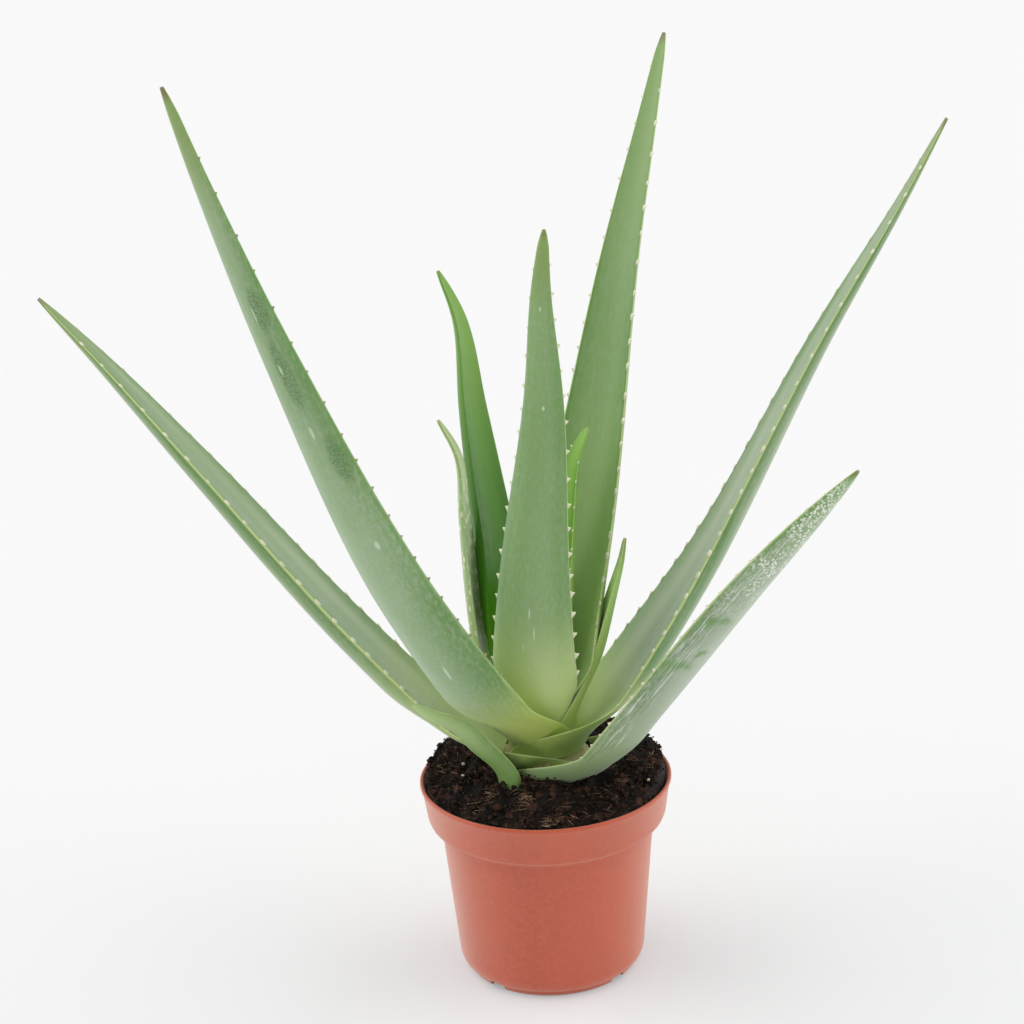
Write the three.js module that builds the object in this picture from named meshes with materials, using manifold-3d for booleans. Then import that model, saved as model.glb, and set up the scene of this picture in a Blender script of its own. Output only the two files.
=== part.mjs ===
// Aloe vera in a 12 cm nursery pot. Millimetres, +Z up, origin on the resting plane
// under the middle of the pot. +X is the plant's right, +Y its back.
import {
  BufferAttribute, BufferGeometry, CatmullRomCurve3, Color, ConeGeometry, CylinderGeometry, Group,
  LatheGeometry, Matrix4, Mesh, MeshStandardMaterial, Vector2, Vector3,
} from 'three';
import { LoftGeometry } from 'three/addons/geometries/LoftGeometry.js';
import { mergeGeometries, mergeVertices } from 'three/addons/utils/BufferGeometryUtils.js';
import Module from 'manifold-3d';

const wasm = await Module();
wasm.setup();

// ---------------------------------------------------------------- driving dimensions

const GAP = 0.35;             // clearance left where one piece clasps another

const POT = {
  height: 97,
  rimRadius: 60,              // outside of the rim, its widest place
  wall: 1.6,
  collarHeight: 20,
  collarFootRadius: 57,       // outside of the collar just above its shoulder
  shoulderRadius: 50.7,       // outside of the wall just under the collar
  baseRadius: 44.7,           // outside of the wall above the bottom edge
  edgeRound: 5,
  footHeight: 3.2,
  footRadius: 40.5,
  footWidth: 7,
  padRadius: 14,
  floor: 2,
  sides: 36,
};
const NOTCH = {
  count: 4,
  firstAngle: -42,
  width: 9,
  length: 24,
  flatter: 0.9,
  holeRadius: 2,
  holeOffset: 16,             // degrees from a notch to the drain hole beside it
};

// The heap stands higher against the back of the rim than against its front.
const SOIL = {
  rimDepth: 1.5,
  backHeight: 103.5,
  crownHeight: 109,
  dip: 7,                     // how much lower the soil lies among the leaf bases
  lump: 1.2,
  bareCrown: [18, 29],        // radii between which the soil rises from that dip
  sides: 30,
  rings: [0.03, 0.22, 0.45, 0.7, 1],  // parts of the way in from the edge to the middle
};

const STEM = {
  bottom: 40,
  stockRadius: 9,
  neckRadius: 11,
  top: 150,
  tipRadius: 3.5,
  facet: 0.965,               // keeps the stem inside the flat facets of the leaf bases
  sides: 16,
};
const ROOTS = { count: 5, radius: 2.2, tipRadius: 0.9, reach: 34, height: 72, drop: 34, sides: 6 };

const LEAF = {
  stations: 13,
  pointsAcross: 9,
  crowding: 1.75,              // above 1 the sections stand closer together near the base
  lastStation: 0.998,
  marginThickness: 0.9,
  sheathThickness: 1.3,
  tipWidth: 3.4,              // how wide a leaf still is where its tip rounds off
  tipPart: 0.035,
  backRounding: 0.8,          // below 1 the back is fuller than a parabola
  marginThinning: 0.3,        // part of the margin's thickness lost by the tip
  opening: 0.5,               // part of the channel's fold lost by the tip
  cupFrom: 0.08,              // part of the length where the cup starts to flatten
  upright: 1.4,               // sheath lengths over which the cross-sections tip over
  swelling: [0.1, 1.6],       // sheath lengths over which the back swells
  twisting: [0.05, 0.45],     // parts of the length over which the blade twists
};
const TOOTH = {
  spacing: 13,
  height: 2.3,
  halfLength: 1.6,
  halfThick: 0.42,
  sunk: 0.8,                  // how far a tooth's root reaches into the margin
  sweep: 0.5,                 // forward lean towards the leaf's tip
  firstAt: 30,                // distance of the first tooth from the stem
  lastAt: 0.93,               // part of the leaf's length where the teeth end
  shortLeaf: 150,             // leaves shorter than this start their teeth nearer the stem
  longLeaf: 250,              // leaves shorter than this have their teeth closer together
  closest: 0.6,               // of spacing, on the very shortest leaf
  sides: 3,
};

// One entry a leaf, from the outermost leaf base to the innermost. base is the radius and height
// where the leaf leaves the stem, shoulder where it turns outwards, reach the distance from the
// pot's axis at LOW and HIGH of the way up from the shoulder, and tip the end of the leaf.
// sway moves those three sideways and bend moves the blade outwards and sideways at NECK. fold is
// half the angle of the channel, cup what is added to it up to CUPPED, twist turns the blade, and
// sheathWrap is the angle that each side of the leaf base reaches round the stem.
const LOW = 0.28;
const HIGH = 0.64;
const NECK = 0.86;
const CUPPED = 0.34;
const LEAVES = [
  {
    name: 'leaf_low_right', azimuth: -48, base: [23.6, 101], shoulder: [29.5, 104.5],
    reach: [74, 131.5], tip: [198.3, 298.5], sway: [1, 2.5, -2], bend: [-1.2, 1], width: 28.5,
    taper: 5, thick: 5.7, fold: 20, cup: 13, twist: -2.5, sheathLength: 32, sheathWrap: 120,
  },
  {
    name: 'leaf_low_left', azimuth: 176, base: [20, 108], shoulder: [28, 112.3],
    reach: [85.5, 150], tip: [222, 339.5], sway: [3.5, 4.2, -2.5], bend: [-1.5, 0], width: 37,
    taper: 2.8, thick: 10.5, fold: 13, twist: 1, sheathLength: 42, sheathWrap: 146,
  },
  {
    name: 'leaf_upper_right', azimuth: 9.5, base: [17.9, 113], shoulder: [21, 119],
    reach: [76.8, 134.9], tip: [196.5, 401], sway: [0.5, 1.5, -1], bend: [1.3, 0.5], width: 47,
    taper: 1.55, thick: 10, fold: 17.5, twist: -9.5, sheathLength: 34, sheathWrap: 164,
  },
  {
    name: 'leaf_upper_left', azimuth: -134, base: [15.3, 117.5], shoulder: [23, 126],
    reach: [90.5, 152], tip: [200.5, 469], sway: [0.5, 2.4, 0.5], bend: [0.5, -1], width: 48,
    taper: 0.86, thick: 12.5, fold: 43, twist: 16, sheathLength: 36, sheathWrap: 120,
  },
  {
    name: 'leaf_small_left', azimuth: 165, base: [13.4, 118], shoulder: [25, 140],
    reach: [30, 33.2], tip: [43.5, 274.5], sway: [0, -0.5, 0.5], bend: [-4.6, -1], width: 14.5,
    taper: 2.4, thick: 3.2, fold: 31, twist: 0, sheathLength: 26, sheathWrap: 70,
  },
  {
    name: 'leaf_small_right', azimuth: 4, base: [13.4, 119], shoulder: [16, 133.5],
    reach: [25, 33.5], tip: [41, 215.5], sway: [3.5, 1, -1.5], bend: [0.6, 0], width: 14,
    taper: 2.1, thick: 4.2, fold: 28, twist: 1, sheathLength: 30, sheathWrap: 86,
  },
  {
    name: 'leaf_front', azimuth: -105, base: [11.7, 123], shoulder: [18, 141], reach: [23, 25],
    tip: [31, 375], sway: [4, 12.5, 17.9], bend: [-2.5, -2], width: 43.5, taper: 1.1, thick: 9,
    fold: 33, twist: 1, sheathLength: 46, sheathWrap: 120,
  },
  {
    name: 'leaf_tall_back', azimuth: 52.5, base: [10, 123], shoulder: [14, 149.5],
    reach: [40, 74.5], tip: [115.5, 433.5], sway: [-1.4, -0.2, -0.5], bend: [0, 0], width: 50.5,
    taper: 1.02, thick: 10, fold: 38, twist: 7.5, sheathLength: 34, sheathWrap: 120,
  },
  {
    name: 'leaf_back_left', azimuth: 128.5, base: [8.3, 125], shoulder: [14.5, 149.5],
    reach: [29.5, 51], tip: [74, 331], sway: [-0.5, -7, -8], bend: [0, -5.4], width: 38.2,
    taper: 2.1, thick: 8.2, fold: 27, twist: 28, sheathLength: 34, sheathWrap: 120,
  },
  {
    name: 'leaf_young', azimuth: 35, base: [6.6, 128], shoulder: [8.5, 150], reach: [12, 18],
    tip: [31, 265.5], sway: [0, 0.5, -1.5], bend: [-1, 3], width: 15, taper: 2.8, thick: 4,
    fold: 35, twist: 6, sheathLength: 26, sheathWrap: 120,
  },
];

// The offset: a leaf like the others on a centre of its own beside the crown.
const PUP = {
  name: 'pup_leaf', azimuth: 186, centre: [-16, -26], base: [4.7, 101], shoulder: [5.6, 111],
  reach: [12.6, 22.5], tip: [45, 151.5], sway: [0, 0, 0], bend: [1.4, 0], width: 17, taper: 2,
  thick: 5, fold: 30, twist: 42, sheathLength: 34, sheathWrap: 146, toothScale: 0.45,
};

// The dried remains of an older leaf base, a curled scrap between the two lowest leaf bases.
const SCRAP = {
  radius: 21.7, thickness: 0.7, lean: 0.3, from: -122, to: -78, bottom: 107.5, top: 116, ragged: 1.6,
  steps: 6,
};

// colour, roughness and metalness of each finish
const FINISH = {
  terracotta: [0xb9614b, 0.55, 0],
  peat: [0x2a1a12, 0.95, 0],
  leaf: [0x7f9f74, 0.45, 0],
  youngLeaf: [0x6f9a4c, 0.45, 0],
  stock: [0xc4bb86, 0.7, 0],
  papery: [0x9a7f45, 0.8, 0],
};

// ---------------------------------------------------------------- small helpers

const radians = (degrees) => (degrees * Math.PI) / 180;

function smooth(from, to, x) {
  const t = Math.min(Math.max((x - from) / (to - from), 0), 1);
  return t * t * (3 - 2 * t);
}

const mix = (a, b, t) => a + (b - a) * t;

// A repeatable pseudo-random number from 0 to 1 for a whole number.
function chance(n) {
  const s = Math.sin(n * 12.9898 + 4.1414) * 43758.5453;
  return s - Math.floor(s);
}

// A closed geometry as a solid that can be joined and cut.
function toSolid(geometry) {
  const bare = new BufferGeometry();
  bare.setAttribute('position', geometry.attributes.position);
  bare.setIndex(geometry.index);
  const merged = mergeVertices(bare, 1e-4);
  return new wasm.Manifold(new wasm.Mesh({
    numProp: 3,
    vertProperties: new Float32Array(merged.attributes.position.array),
    triVerts: new Uint32Array(merged.index.array),
  }));
}

function toGeometry(solid) {
  const mesh = solid.getMesh();
  const geometry = new BufferGeometry();
  geometry.setAttribute('position', new BufferAttribute(mesh.vertProperties, 3));
  geometry.setIndex(new BufferAttribute(mesh.triVerts, 1));
  geometry.computeVertexNormals();
  return geometry;
}

// The body of a solid that is left when loose crumbs of a cut are dropped.
function mainBody(solid) {
  const bodies = solid.decompose();
  bodies.sort((a, b) => b.volume() - a.volume());
  return bodies[0];
}

function cutAll(solid, cutters) {
  let rest = solid;
  for (const cutter of cutters) rest = rest.subtract(cutter);
  return rest;
}

// A turned shape: profile points are [radius, height], listed up the outside.
function turned(profile, sides) {
  const geometry = new LatheGeometry(profile.map(([r, z]) => new Vector2(r, z)), sides);
  geometry.rotateX(Math.PI / 2);
  return geometry;
}

function piece(name, solid, finish) {
  const [colour, roughness, metalness] = FINISH[finish];
  const material = new MeshStandardMaterial({ color: new Color(colour), roughness, metalness });
  const mesh = new Mesh(toGeometry(solid), material);
  mesh.name = name;
  return mesh;
}

// ---------------------------------------------------------------- leaves

// The middle line of a leaf's upper face, from the stem to the tip.
function leafSpine(leaf) {
  const [cx, cy] = leaf.centre ?? [0, 0];
  const angle = radians(leaf.azimuth);
  const out = new Vector3(Math.cos(angle), Math.sin(angle), 0);
  const side = new Vector3(-Math.sin(angle), Math.cos(angle), 0);
  const heightAt = (part) => mix(leaf.shoulder[1], leaf.tip[1], part);
  const late = (NECK - HIGH) / (1 - HIGH);
  const stops = [
    [leaf.base[0], 0, leaf.base[1]],
    [leaf.shoulder[0], 0, leaf.shoulder[1]],
    [leaf.reach[0], leaf.sway[0], heightAt(LOW)],
    [leaf.reach[1], leaf.sway[1], heightAt(HIGH)],
    [
      mix(leaf.reach[1], leaf.tip[0], late) + leaf.bend[0],
      mix(leaf.sway[1], leaf.sway[2], late) + leaf.bend[1],
      heightAt(NECK),
    ],
    [leaf.tip[0], leaf.sway[2], leaf.tip[1]],
  ];
  const points = stops.map(([reach, sway, height]) => new Vector3(cx, cy, height)
    .addScaledVector(out, reach)
    .addScaledVector(side, sway));
  const curve = new CatmullRomCurve3(points, false, 'centripetal');
  return { curve, side, length: curve.getLength() };
}

// The shape of one cross-section: where it is, which way it faces and how it is curved.
function leafFrame(leaf, spine, v) {
  const up = new Vector3(0, 0, 1);
  const sheath = leaf.sheathLength / spine.length;
  const wrap = radians(leaf.sheathWrap);
  const upright = 1 - smooth(0, LEAF.upright * sheath, v);
  const along = spine.curve.getTangentAt(Math.min(v, 1)).lerp(up, upright).normalize();
  let out = new Vector3().crossVectors(spine.side, along).normalize();
  let side = new Vector3().crossVectors(along, out);
  const turn = radians(leaf.twist) * smooth(...LEAF.twisting, v);
  const turnedOut = out.clone().multiplyScalar(Math.cos(turn)).addScaledVector(side, Math.sin(turn));
  side = side.clone().multiplyScalar(Math.cos(turn)).addScaledVector(out, -Math.sin(turn));
  out = turnedOut;

  const tapered = 1 - v ** leaf.taper;
  const rounded = Math.min(1, Math.max(1 - v, 0) / LEAF.tipPart) ** 0.5;
  const width = leaf.width * tapered + LEAF.tipWidth * rounded;
  const cupped = (leaf.cup ?? 0) * (1 - smooth(LEAF.cupFrom, CUPPED, v));
  const channel = radians(leaf.fold * (1 - LEAF.opening * v) + cupped);
  const clasp = 1 - smooth(0, sheath, v);
  const [swellFrom, swellTo] = LEAF.swelling;
  const swell = smooth(swellFrom * sheath, swellTo * sheath, v);
  const halfArc = mix(width / 2, leaf.base[0] * wrap, clasp);
  const bend = mix((2 * channel) / width, 1 / leaf.base[0], clasp);
  return {
    out,
    side,
    along,
    radius: 1 / bend,
    halfAngle: halfArc * bend,
    edge: LEAF.marginThickness * (1 - LEAF.marginThinning * v),
    middle: leaf.thick * swell * tapered + LEAF.sheathThickness,
    middlePoint: spine.curve.getPointAt(Math.min(v, 1)),
  };
}

// A point of a cross-section: across runs from -1 at one margin to 1 at the other, depth is
// measured outwards from the upper face.
function pointAcross(frame, across, depth, spread = 0) {
  const angle = frame.halfAngle * across + (spread / frame.radius) * Math.sign(across);
  const radius = frame.radius + depth;
  return frame.middlePoint.clone()
    .addScaledVector(frame.out, radius * Math.cos(angle) - frame.radius)
    .addScaledVector(frame.side, radius * Math.sin(angle));
}

function leafSection(leaf, spine, v, swell) {
  const frame = leafFrame(leaf, spine, v);
  const points = [];
  for (let i = 0; i < LEAF.pointsAcross; i += 1) {
    const across = mix(-1, 1, i / (LEAF.pointsAcross - 1));
    const depth = mix(frame.edge, frame.middle, (1 - across * across) ** LEAF.backRounding);
    points.push(pointAcross(frame, across, depth + swell, swell));
  }
  for (let i = 0; i < LEAF.pointsAcross; i += 1) {
    const across = mix(1, -1, i / (LEAF.pointsAcross - 1));
    points.push(pointAcross(frame, across, -swell, swell));
  }
  return points;
}

// The small forward-leaning teeth along both margins, as one set of flat spikes sunk into the leaf.
function teeth(leaf, spine) {
  const scale = leaf.toothScale ?? 1;
  const first = TOOTH.firstAt * Math.min(1, spine.length / TOOTH.shortLeaf);
  const spacing = TOOTH.spacing * mix(TOOTH.closest, 1, Math.min(1, spine.length / TOOTH.longLeaf));
  const spikes = [];
  for (const margin of [-1, 1]) {
    let at = first + (margin > 0 ? spacing * 0.4 : 0);
    while (at < spine.length * TOOTH.lastAt) {
      const v = at / spine.length;
      const size = scale * mix(1, 0.5, v) * mix(0.8, 1.15, chance(at + 7 * margin));
      spikes.push(spike(leafFrame(leaf, spine, v), margin, size));
      at += spacing * mix(0.85, 1.15, chance(at * 3 + margin));
    }
  }
  return toSolid(mergeGeometries(spikes));
}

function spike(frame, margin, size) {
  const angle = frame.halfAngle * margin;
  const face = frame.out.clone().multiplyScalar(Math.cos(angle))
    .addScaledVector(frame.side, Math.sin(angle));
  const point = new Vector3().crossVectors(face, frame.along).multiplyScalar(-margin)
    .addScaledVector(frame.along, TOOTH.sweep)
    .normalize();
  const height = TOOTH.height * size + TOOTH.sunk;
  const cone = new ConeGeometry(1, height, TOOTH.sides);
  cone.scale(TOOTH.halfLength * mix(0.6, 1, size), 1, TOOTH.halfThick);
  cone.translate(0, height / 2 - TOOTH.sunk, 0);
  const length = new Vector3().crossVectors(point, face);
  cone.applyMatrix4(new Matrix4().makeBasis(length, point, face));
  const root = pointAcross(frame, margin, frame.edge / 2);
  cone.translate(root.x, root.y, root.z);
  return cone;
}

// A leaf without its teeth, grown by swell all round when it is used to cut its neighbours.
function bladeSolid(leaf, swell = 0) {
  const spine = leafSpine(leaf);
  const sections = [];
  for (let i = 0; i < LEAF.stations; i += 1) {
    const v = LEAF.lastStation * (i / (LEAF.stations - 1)) ** LEAF.crowding;
    sections.push(leafSection(leaf, spine, v, swell));
  }
  if (swell > 0) {
    const last = sections.at(-1);
    const tip = leafFrame(leaf, spine, 1).along;
    sections.push(last.map((point) => point.clone().addScaledVector(tip, swell)));
    const bottom = sections[0].map((point) => point.clone().add(new Vector3(0, 0, -swell)));
    sections.unshift(bottom);
  }
  return toSolid(new LoftGeometry(sections, { capStart: true, capEnd: true }));
}

// A leaf with its teeth: the blade keeps clear of the neighbours it clasps, the teeth of all.
function leafSolid(leaf, clasped, neighbours) {
  const spikes = cutAll(teeth(leaf, leafSpine(leaf)), neighbours);
  return mainBody(cutAll(bladeSolid(leaf), clasped).add(spikes));
}

// ---------------------------------------------------------------- stem, scrap, soil and pot

// A root: a thin tapering tube that leaves the stock sideways and sinks outwards.
function rootSolid(index, swell) {
  const angle = radians((360 / ROOTS.count) * index + 25 * (chance(index) - 0.5));
  const out = new Vector3(Math.cos(angle), Math.sin(angle), 0);
  const height = ROOTS.height - 5 * (index % 3);
  const curve = new CatmullRomCurve3([
    out.clone().multiplyScalar(2).setZ(height),
    out.clone().multiplyScalar(ROOTS.reach * 0.45).setZ(height - 3),
    out.clone().multiplyScalar(ROOTS.reach * 0.85).setZ(height - ROOTS.drop * 0.45),
    out.clone().multiplyScalar(ROOTS.reach).setZ(height - ROOTS.drop),
  ]);
  const side = new Vector3(-Math.sin(angle), Math.cos(angle), 0);
  const sections = [];
  const steps = 6;
  for (let i = 0; i <= steps; i += 1) {
    const v = i / steps;
    const across = new Vector3().crossVectors(side, curve.getTangentAt(v)).normalize();
    const radius = mix(ROOTS.radius, ROOTS.tipRadius, v) + swell;
    const ring = [];
    for (let j = 0; j < ROOTS.sides; j += 1) {
      const a = (2 * Math.PI * j) / ROOTS.sides;
      ring.push(curve.getPointAt(v)
        .addScaledVector(across, radius * Math.cos(a))
        .addScaledVector(side, radius * Math.sin(a)));
    }
    sections.push(ring);
  }
  return toSolid(new LoftGeometry(sections, { capStart: true, capEnd: true }));
}

// The stock under the soil with its roots, and the stepped cone whose steps carry the leaf bases.
function stemSolid(swell = 0) {
  const crown = LEAVES[0].base;
  const profile = [
    [0, STEM.bottom - swell],
    [STEM.stockRadius * 0.6 + swell, STEM.bottom - swell],
    [STEM.stockRadius + swell, STEM.bottom + 14],
    [STEM.neckRadius + swell, crown[1] - 8],
    [crown[0] * STEM.facet - GAP + swell, crown[1] - 1 - swell],
  ];
  LEAVES.forEach(({ base }, i) => {
    const radius = base[0] * STEM.facet - GAP + swell;
    const next = LEAVES[i + 1];
    if (radius < profile.at(-1)[0]) profile.push([radius, base[1] - GAP + swell]);
    const nextStep = next ? next.base[1] - GAP + swell : base[1] + 6;
    if (nextStep > profile.at(-1)[1]) profile.push([radius, nextStep]);
  });
  profile.push([STEM.tipRadius + swell, STEM.top], [0, STEM.top + 3 + swell]);
  let stem = toSolid(turned(profile, STEM.sides));
  for (let i = 0; i < ROOTS.count; i += 1) stem = stem.add(rootSolid(i, swell));
  return stem;
}

function scrapSolid(swell = 0) {
  const inside = SCRAP.radius - swell;
  const outside = SCRAP.radius + SCRAP.thickness + swell;
  const sections = [];
  for (let i = 0; i <= SCRAP.steps; i += 1) {
    const part = i / SCRAP.steps;
    const angle = radians(mix(SCRAP.from, SCRAP.to, part)) + mix(-swell, swell, part) / SCRAP.radius;
    const out = new Vector3(Math.cos(angle), Math.sin(angle), 0);
    const arch = Math.sin(Math.PI * part) ** 0.5;
    const top = mix(SCRAP.bottom + 3, SCRAP.top, arch) + SCRAP.ragged * (chance(i) - 0.5) + swell;
    const at = (radius, height) => out.clone().multiplyScalar(radius).setZ(height);
    sections.push([
      at(inside, SCRAP.bottom - swell),
      at(inside + SCRAP.lean, top),
      at(outside + SCRAP.lean, top),
      at(outside, SCRAP.bottom - swell),
    ]);
  }
  return toSolid(new LoftGeometry(sections, { capStart: true, capEnd: true }));
}

// Gentle lumps on the heaped soil.
function lump(x, y) {
  return SOIL.lump * (Math.sin(0.21 * x + 0.9) * Math.cos(0.17 * y - 0.4)
    + 0.6 * Math.sin(0.47 * x - 0.31 * y + 2) + 0.5 * Math.cos(0.39 * y + 0.28 * x));
}

function potInnerRadius(height) {
  const { baseRadius, collarHeight, height: top, rimRadius, shoulderRadius, wall } = POT;
  const shoulder = top - collarHeight;
  if (height >= shoulder) {
    return mix(POT.collarFootRadius, rimRadius, (height - shoulder) / collarHeight) - wall;
  }
  return mix(baseRadius, shoulderRadius, height / shoulder) - wall;
}

function soilSolid() {
  const bottom = POT.footHeight + POT.floor + GAP;
  const shoulder = POT.height - POT.collarHeight;
  const edge = POT.height - SOIL.rimDepth;
  const clearance = GAP + 0.1;
  const under = POT.edgeRound;
  const profile = [
    [0, bottom],
    [potInnerRadius(0) - under, bottom],
    [potInnerRadius(bottom + under) - clearance, bottom + under],
    [potInnerRadius(shoulder - 3) - clearance, shoulder - 3],
    [potInnerRadius(shoulder - 3) - clearance, shoulder + 1],
    [potInnerRadius(edge) - clearance - 0.8, edge],
  ];
  const edgeRadius = profile.at(-1)[0];
  for (const part of SOIL.rings) profile.push([edgeRadius * (1 - part), POT.height]);
  const geometry = turned(profile, SOIL.sides);
  const position = geometry.attributes.position;
  for (let i = 0; i < position.count; i += 1) {
    const [x, y, z] = [position.getX(i), position.getY(i), position.getZ(i)];
    if (z >= edge - 0.01) position.setZ(i, soilHeight(x, y, edge, edgeRadius));
  }
  return toSolid(geometry);
}

// The heaped surface, which drops to the given height at its edge all round.
function soilHeight(x, y, edge, edgeRadius) {
  const radius = Math.hypot(x, y);
  const part = 1 - radius / edgeRadius;
  const toBack = smooth(-0.95, 0.25, (y + 0.4 * x) / Math.max(radius, 1));
  const bank = mix(edge, SOIL.backHeight, toBack);
  const heap = mix(bank, SOIL.crownHeight, smooth(0.02, 0.52, part));
  const brink = (bank - edge) * (1 - smooth(0, 0.025, part));
  const dip = SOIL.dip * (1 - smooth(...SOIL.bareCrown, radius));
  return heap - brink - dip + lump(x, y) * smooth(16, 30, radius) * smooth(0, 0.08, part);
}

function notchCutters() {
  const cutters = [];
  for (let i = 0; i < NOTCH.count; i += 1) {
    const angle = radians(NOTCH.firstAngle + (360 / NOTCH.count) * i);
    const notch = new CylinderGeometry(NOTCH.width / 2, NOTCH.width / 2, NOTCH.length, 12);
    notch.scale(1, 1, NOTCH.flatter);
    notch.rotateZ(Math.PI / 2);
    notch.translate(POT.baseRadius, 0, 0);
    notch.rotateZ(angle);
    cutters.push(toSolid(notch));
    const drain = new CylinderGeometry(NOTCH.holeRadius, NOTCH.holeRadius, 12, 10);
    drain.rotateX(Math.PI / 2);
    drain.translate(POT.footRadius - POT.footWidth - NOTCH.holeRadius - 1, 0, POT.footHeight);
    drain.rotateZ(angle + radians(NOTCH.holeOffset));
    cutters.push(toSolid(drain));
  }
  return cutters;
}

function potSolid() {
  const { height, rimRadius, wall, collarHeight, footHeight, footRadius, footWidth, padRadius, floor } = POT;
  const shoulder = height - collarHeight;
  const under = POT.edgeRound;
  const profile = [
    [0, 0],
    [padRadius, 0],
    [padRadius + 1, footHeight],
    [footRadius - footWidth, footHeight],
    [footRadius - footWidth + 0.4, 0],
    [footRadius, 0],
    [footRadius + 0.6, footHeight * 0.8],
    [POT.baseRadius - under * 0.24, footHeight + under * 0.28],
    [POT.baseRadius, footHeight + under],
    [POT.shoulderRadius, shoulder - 4.2],
    [POT.shoulderRadius + 1.5, shoulder - 1.6],
    [POT.collarFootRadius - 0.8, shoulder + 0.6],
    [POT.collarFootRadius, shoulder + 2.6],
    [rimRadius, height - 2],
    [rimRadius, height - 0.5],
    [rimRadius - 0.5, height],
    [rimRadius - wall, height],
    [potInnerRadius(shoulder + 3), shoulder + 3],
    [potInnerRadius(shoulder - 1), shoulder],
    [potInnerRadius(footHeight + under), footHeight + under],
    [potInnerRadius(footHeight) - under * 0.8, footHeight + floor],
    [0, footHeight + floor],
  ];
  return cutAll(toSolid(turned(profile, POT.sides)), notchCutters());
}

// ---------------------------------------------------------------- the whole plant

const plant = new Group();

const swollen = LEAVES.map((leaf) => bladeSolid(leaf, GAP));
const swollenPup = bladeSolid(PUP, GAP);
const swollenStem = stemSolid(GAP);

LEAVES.forEach((leaf, i) => {
  const inner = swollen.slice(i + 1);
  const solid = leafSolid(leaf, [...inner, swollenStem], [...swollen.slice(0, i), ...inner]);
  plant.add(piece(leaf.name, solid, leaf.name === 'leaf_young' ? 'youngLeaf' : 'leaf'));
});

const outer = swollen.slice(0, 4);
plant.add(piece(PUP.name, leafSolid(PUP, [...outer, swollenStem], outer), 'youngLeaf'));
plant.add(piece('old_leaf_scrap', mainBody(cutAll(scrapSolid(), [...outer, swollenStem])), 'papery'));
plant.add(piece('stem_and_roots', stemSolid(), 'stock'));

const buried = [swollenStem, swollen[0], swollen[1], swollenPup, scrapSolid(GAP)];
const soil = cutAll(soilSolid(), buried);
plant.add(piece('soil', mainBody(soil), 'peat'));
plant.add(piece('pot', potSolid(), 'terracotta'));

export default plant;
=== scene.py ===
"""Aloe vera in a 12 cm nursery pot. Metres, +Z up, origin under the middle of the pot."""
import math
import random

import bpy
import numpy as np
from mathutils import Matrix, Vector


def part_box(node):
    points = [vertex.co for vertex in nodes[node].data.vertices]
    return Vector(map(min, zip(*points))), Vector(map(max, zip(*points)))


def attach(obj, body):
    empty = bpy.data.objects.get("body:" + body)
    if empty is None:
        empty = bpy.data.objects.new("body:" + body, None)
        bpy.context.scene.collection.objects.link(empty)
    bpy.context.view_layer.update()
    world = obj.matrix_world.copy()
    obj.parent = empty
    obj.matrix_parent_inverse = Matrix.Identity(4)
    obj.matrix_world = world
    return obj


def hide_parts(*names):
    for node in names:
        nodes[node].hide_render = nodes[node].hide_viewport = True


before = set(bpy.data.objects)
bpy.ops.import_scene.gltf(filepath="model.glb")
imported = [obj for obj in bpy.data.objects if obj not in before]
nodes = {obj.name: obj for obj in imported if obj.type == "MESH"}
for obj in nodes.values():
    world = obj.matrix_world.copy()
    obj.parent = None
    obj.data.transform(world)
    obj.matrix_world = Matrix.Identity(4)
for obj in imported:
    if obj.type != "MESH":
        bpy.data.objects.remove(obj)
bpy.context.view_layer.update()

MM = 0.001

# ---------------------------------------------------------------- sizes, in millimetres

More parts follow.
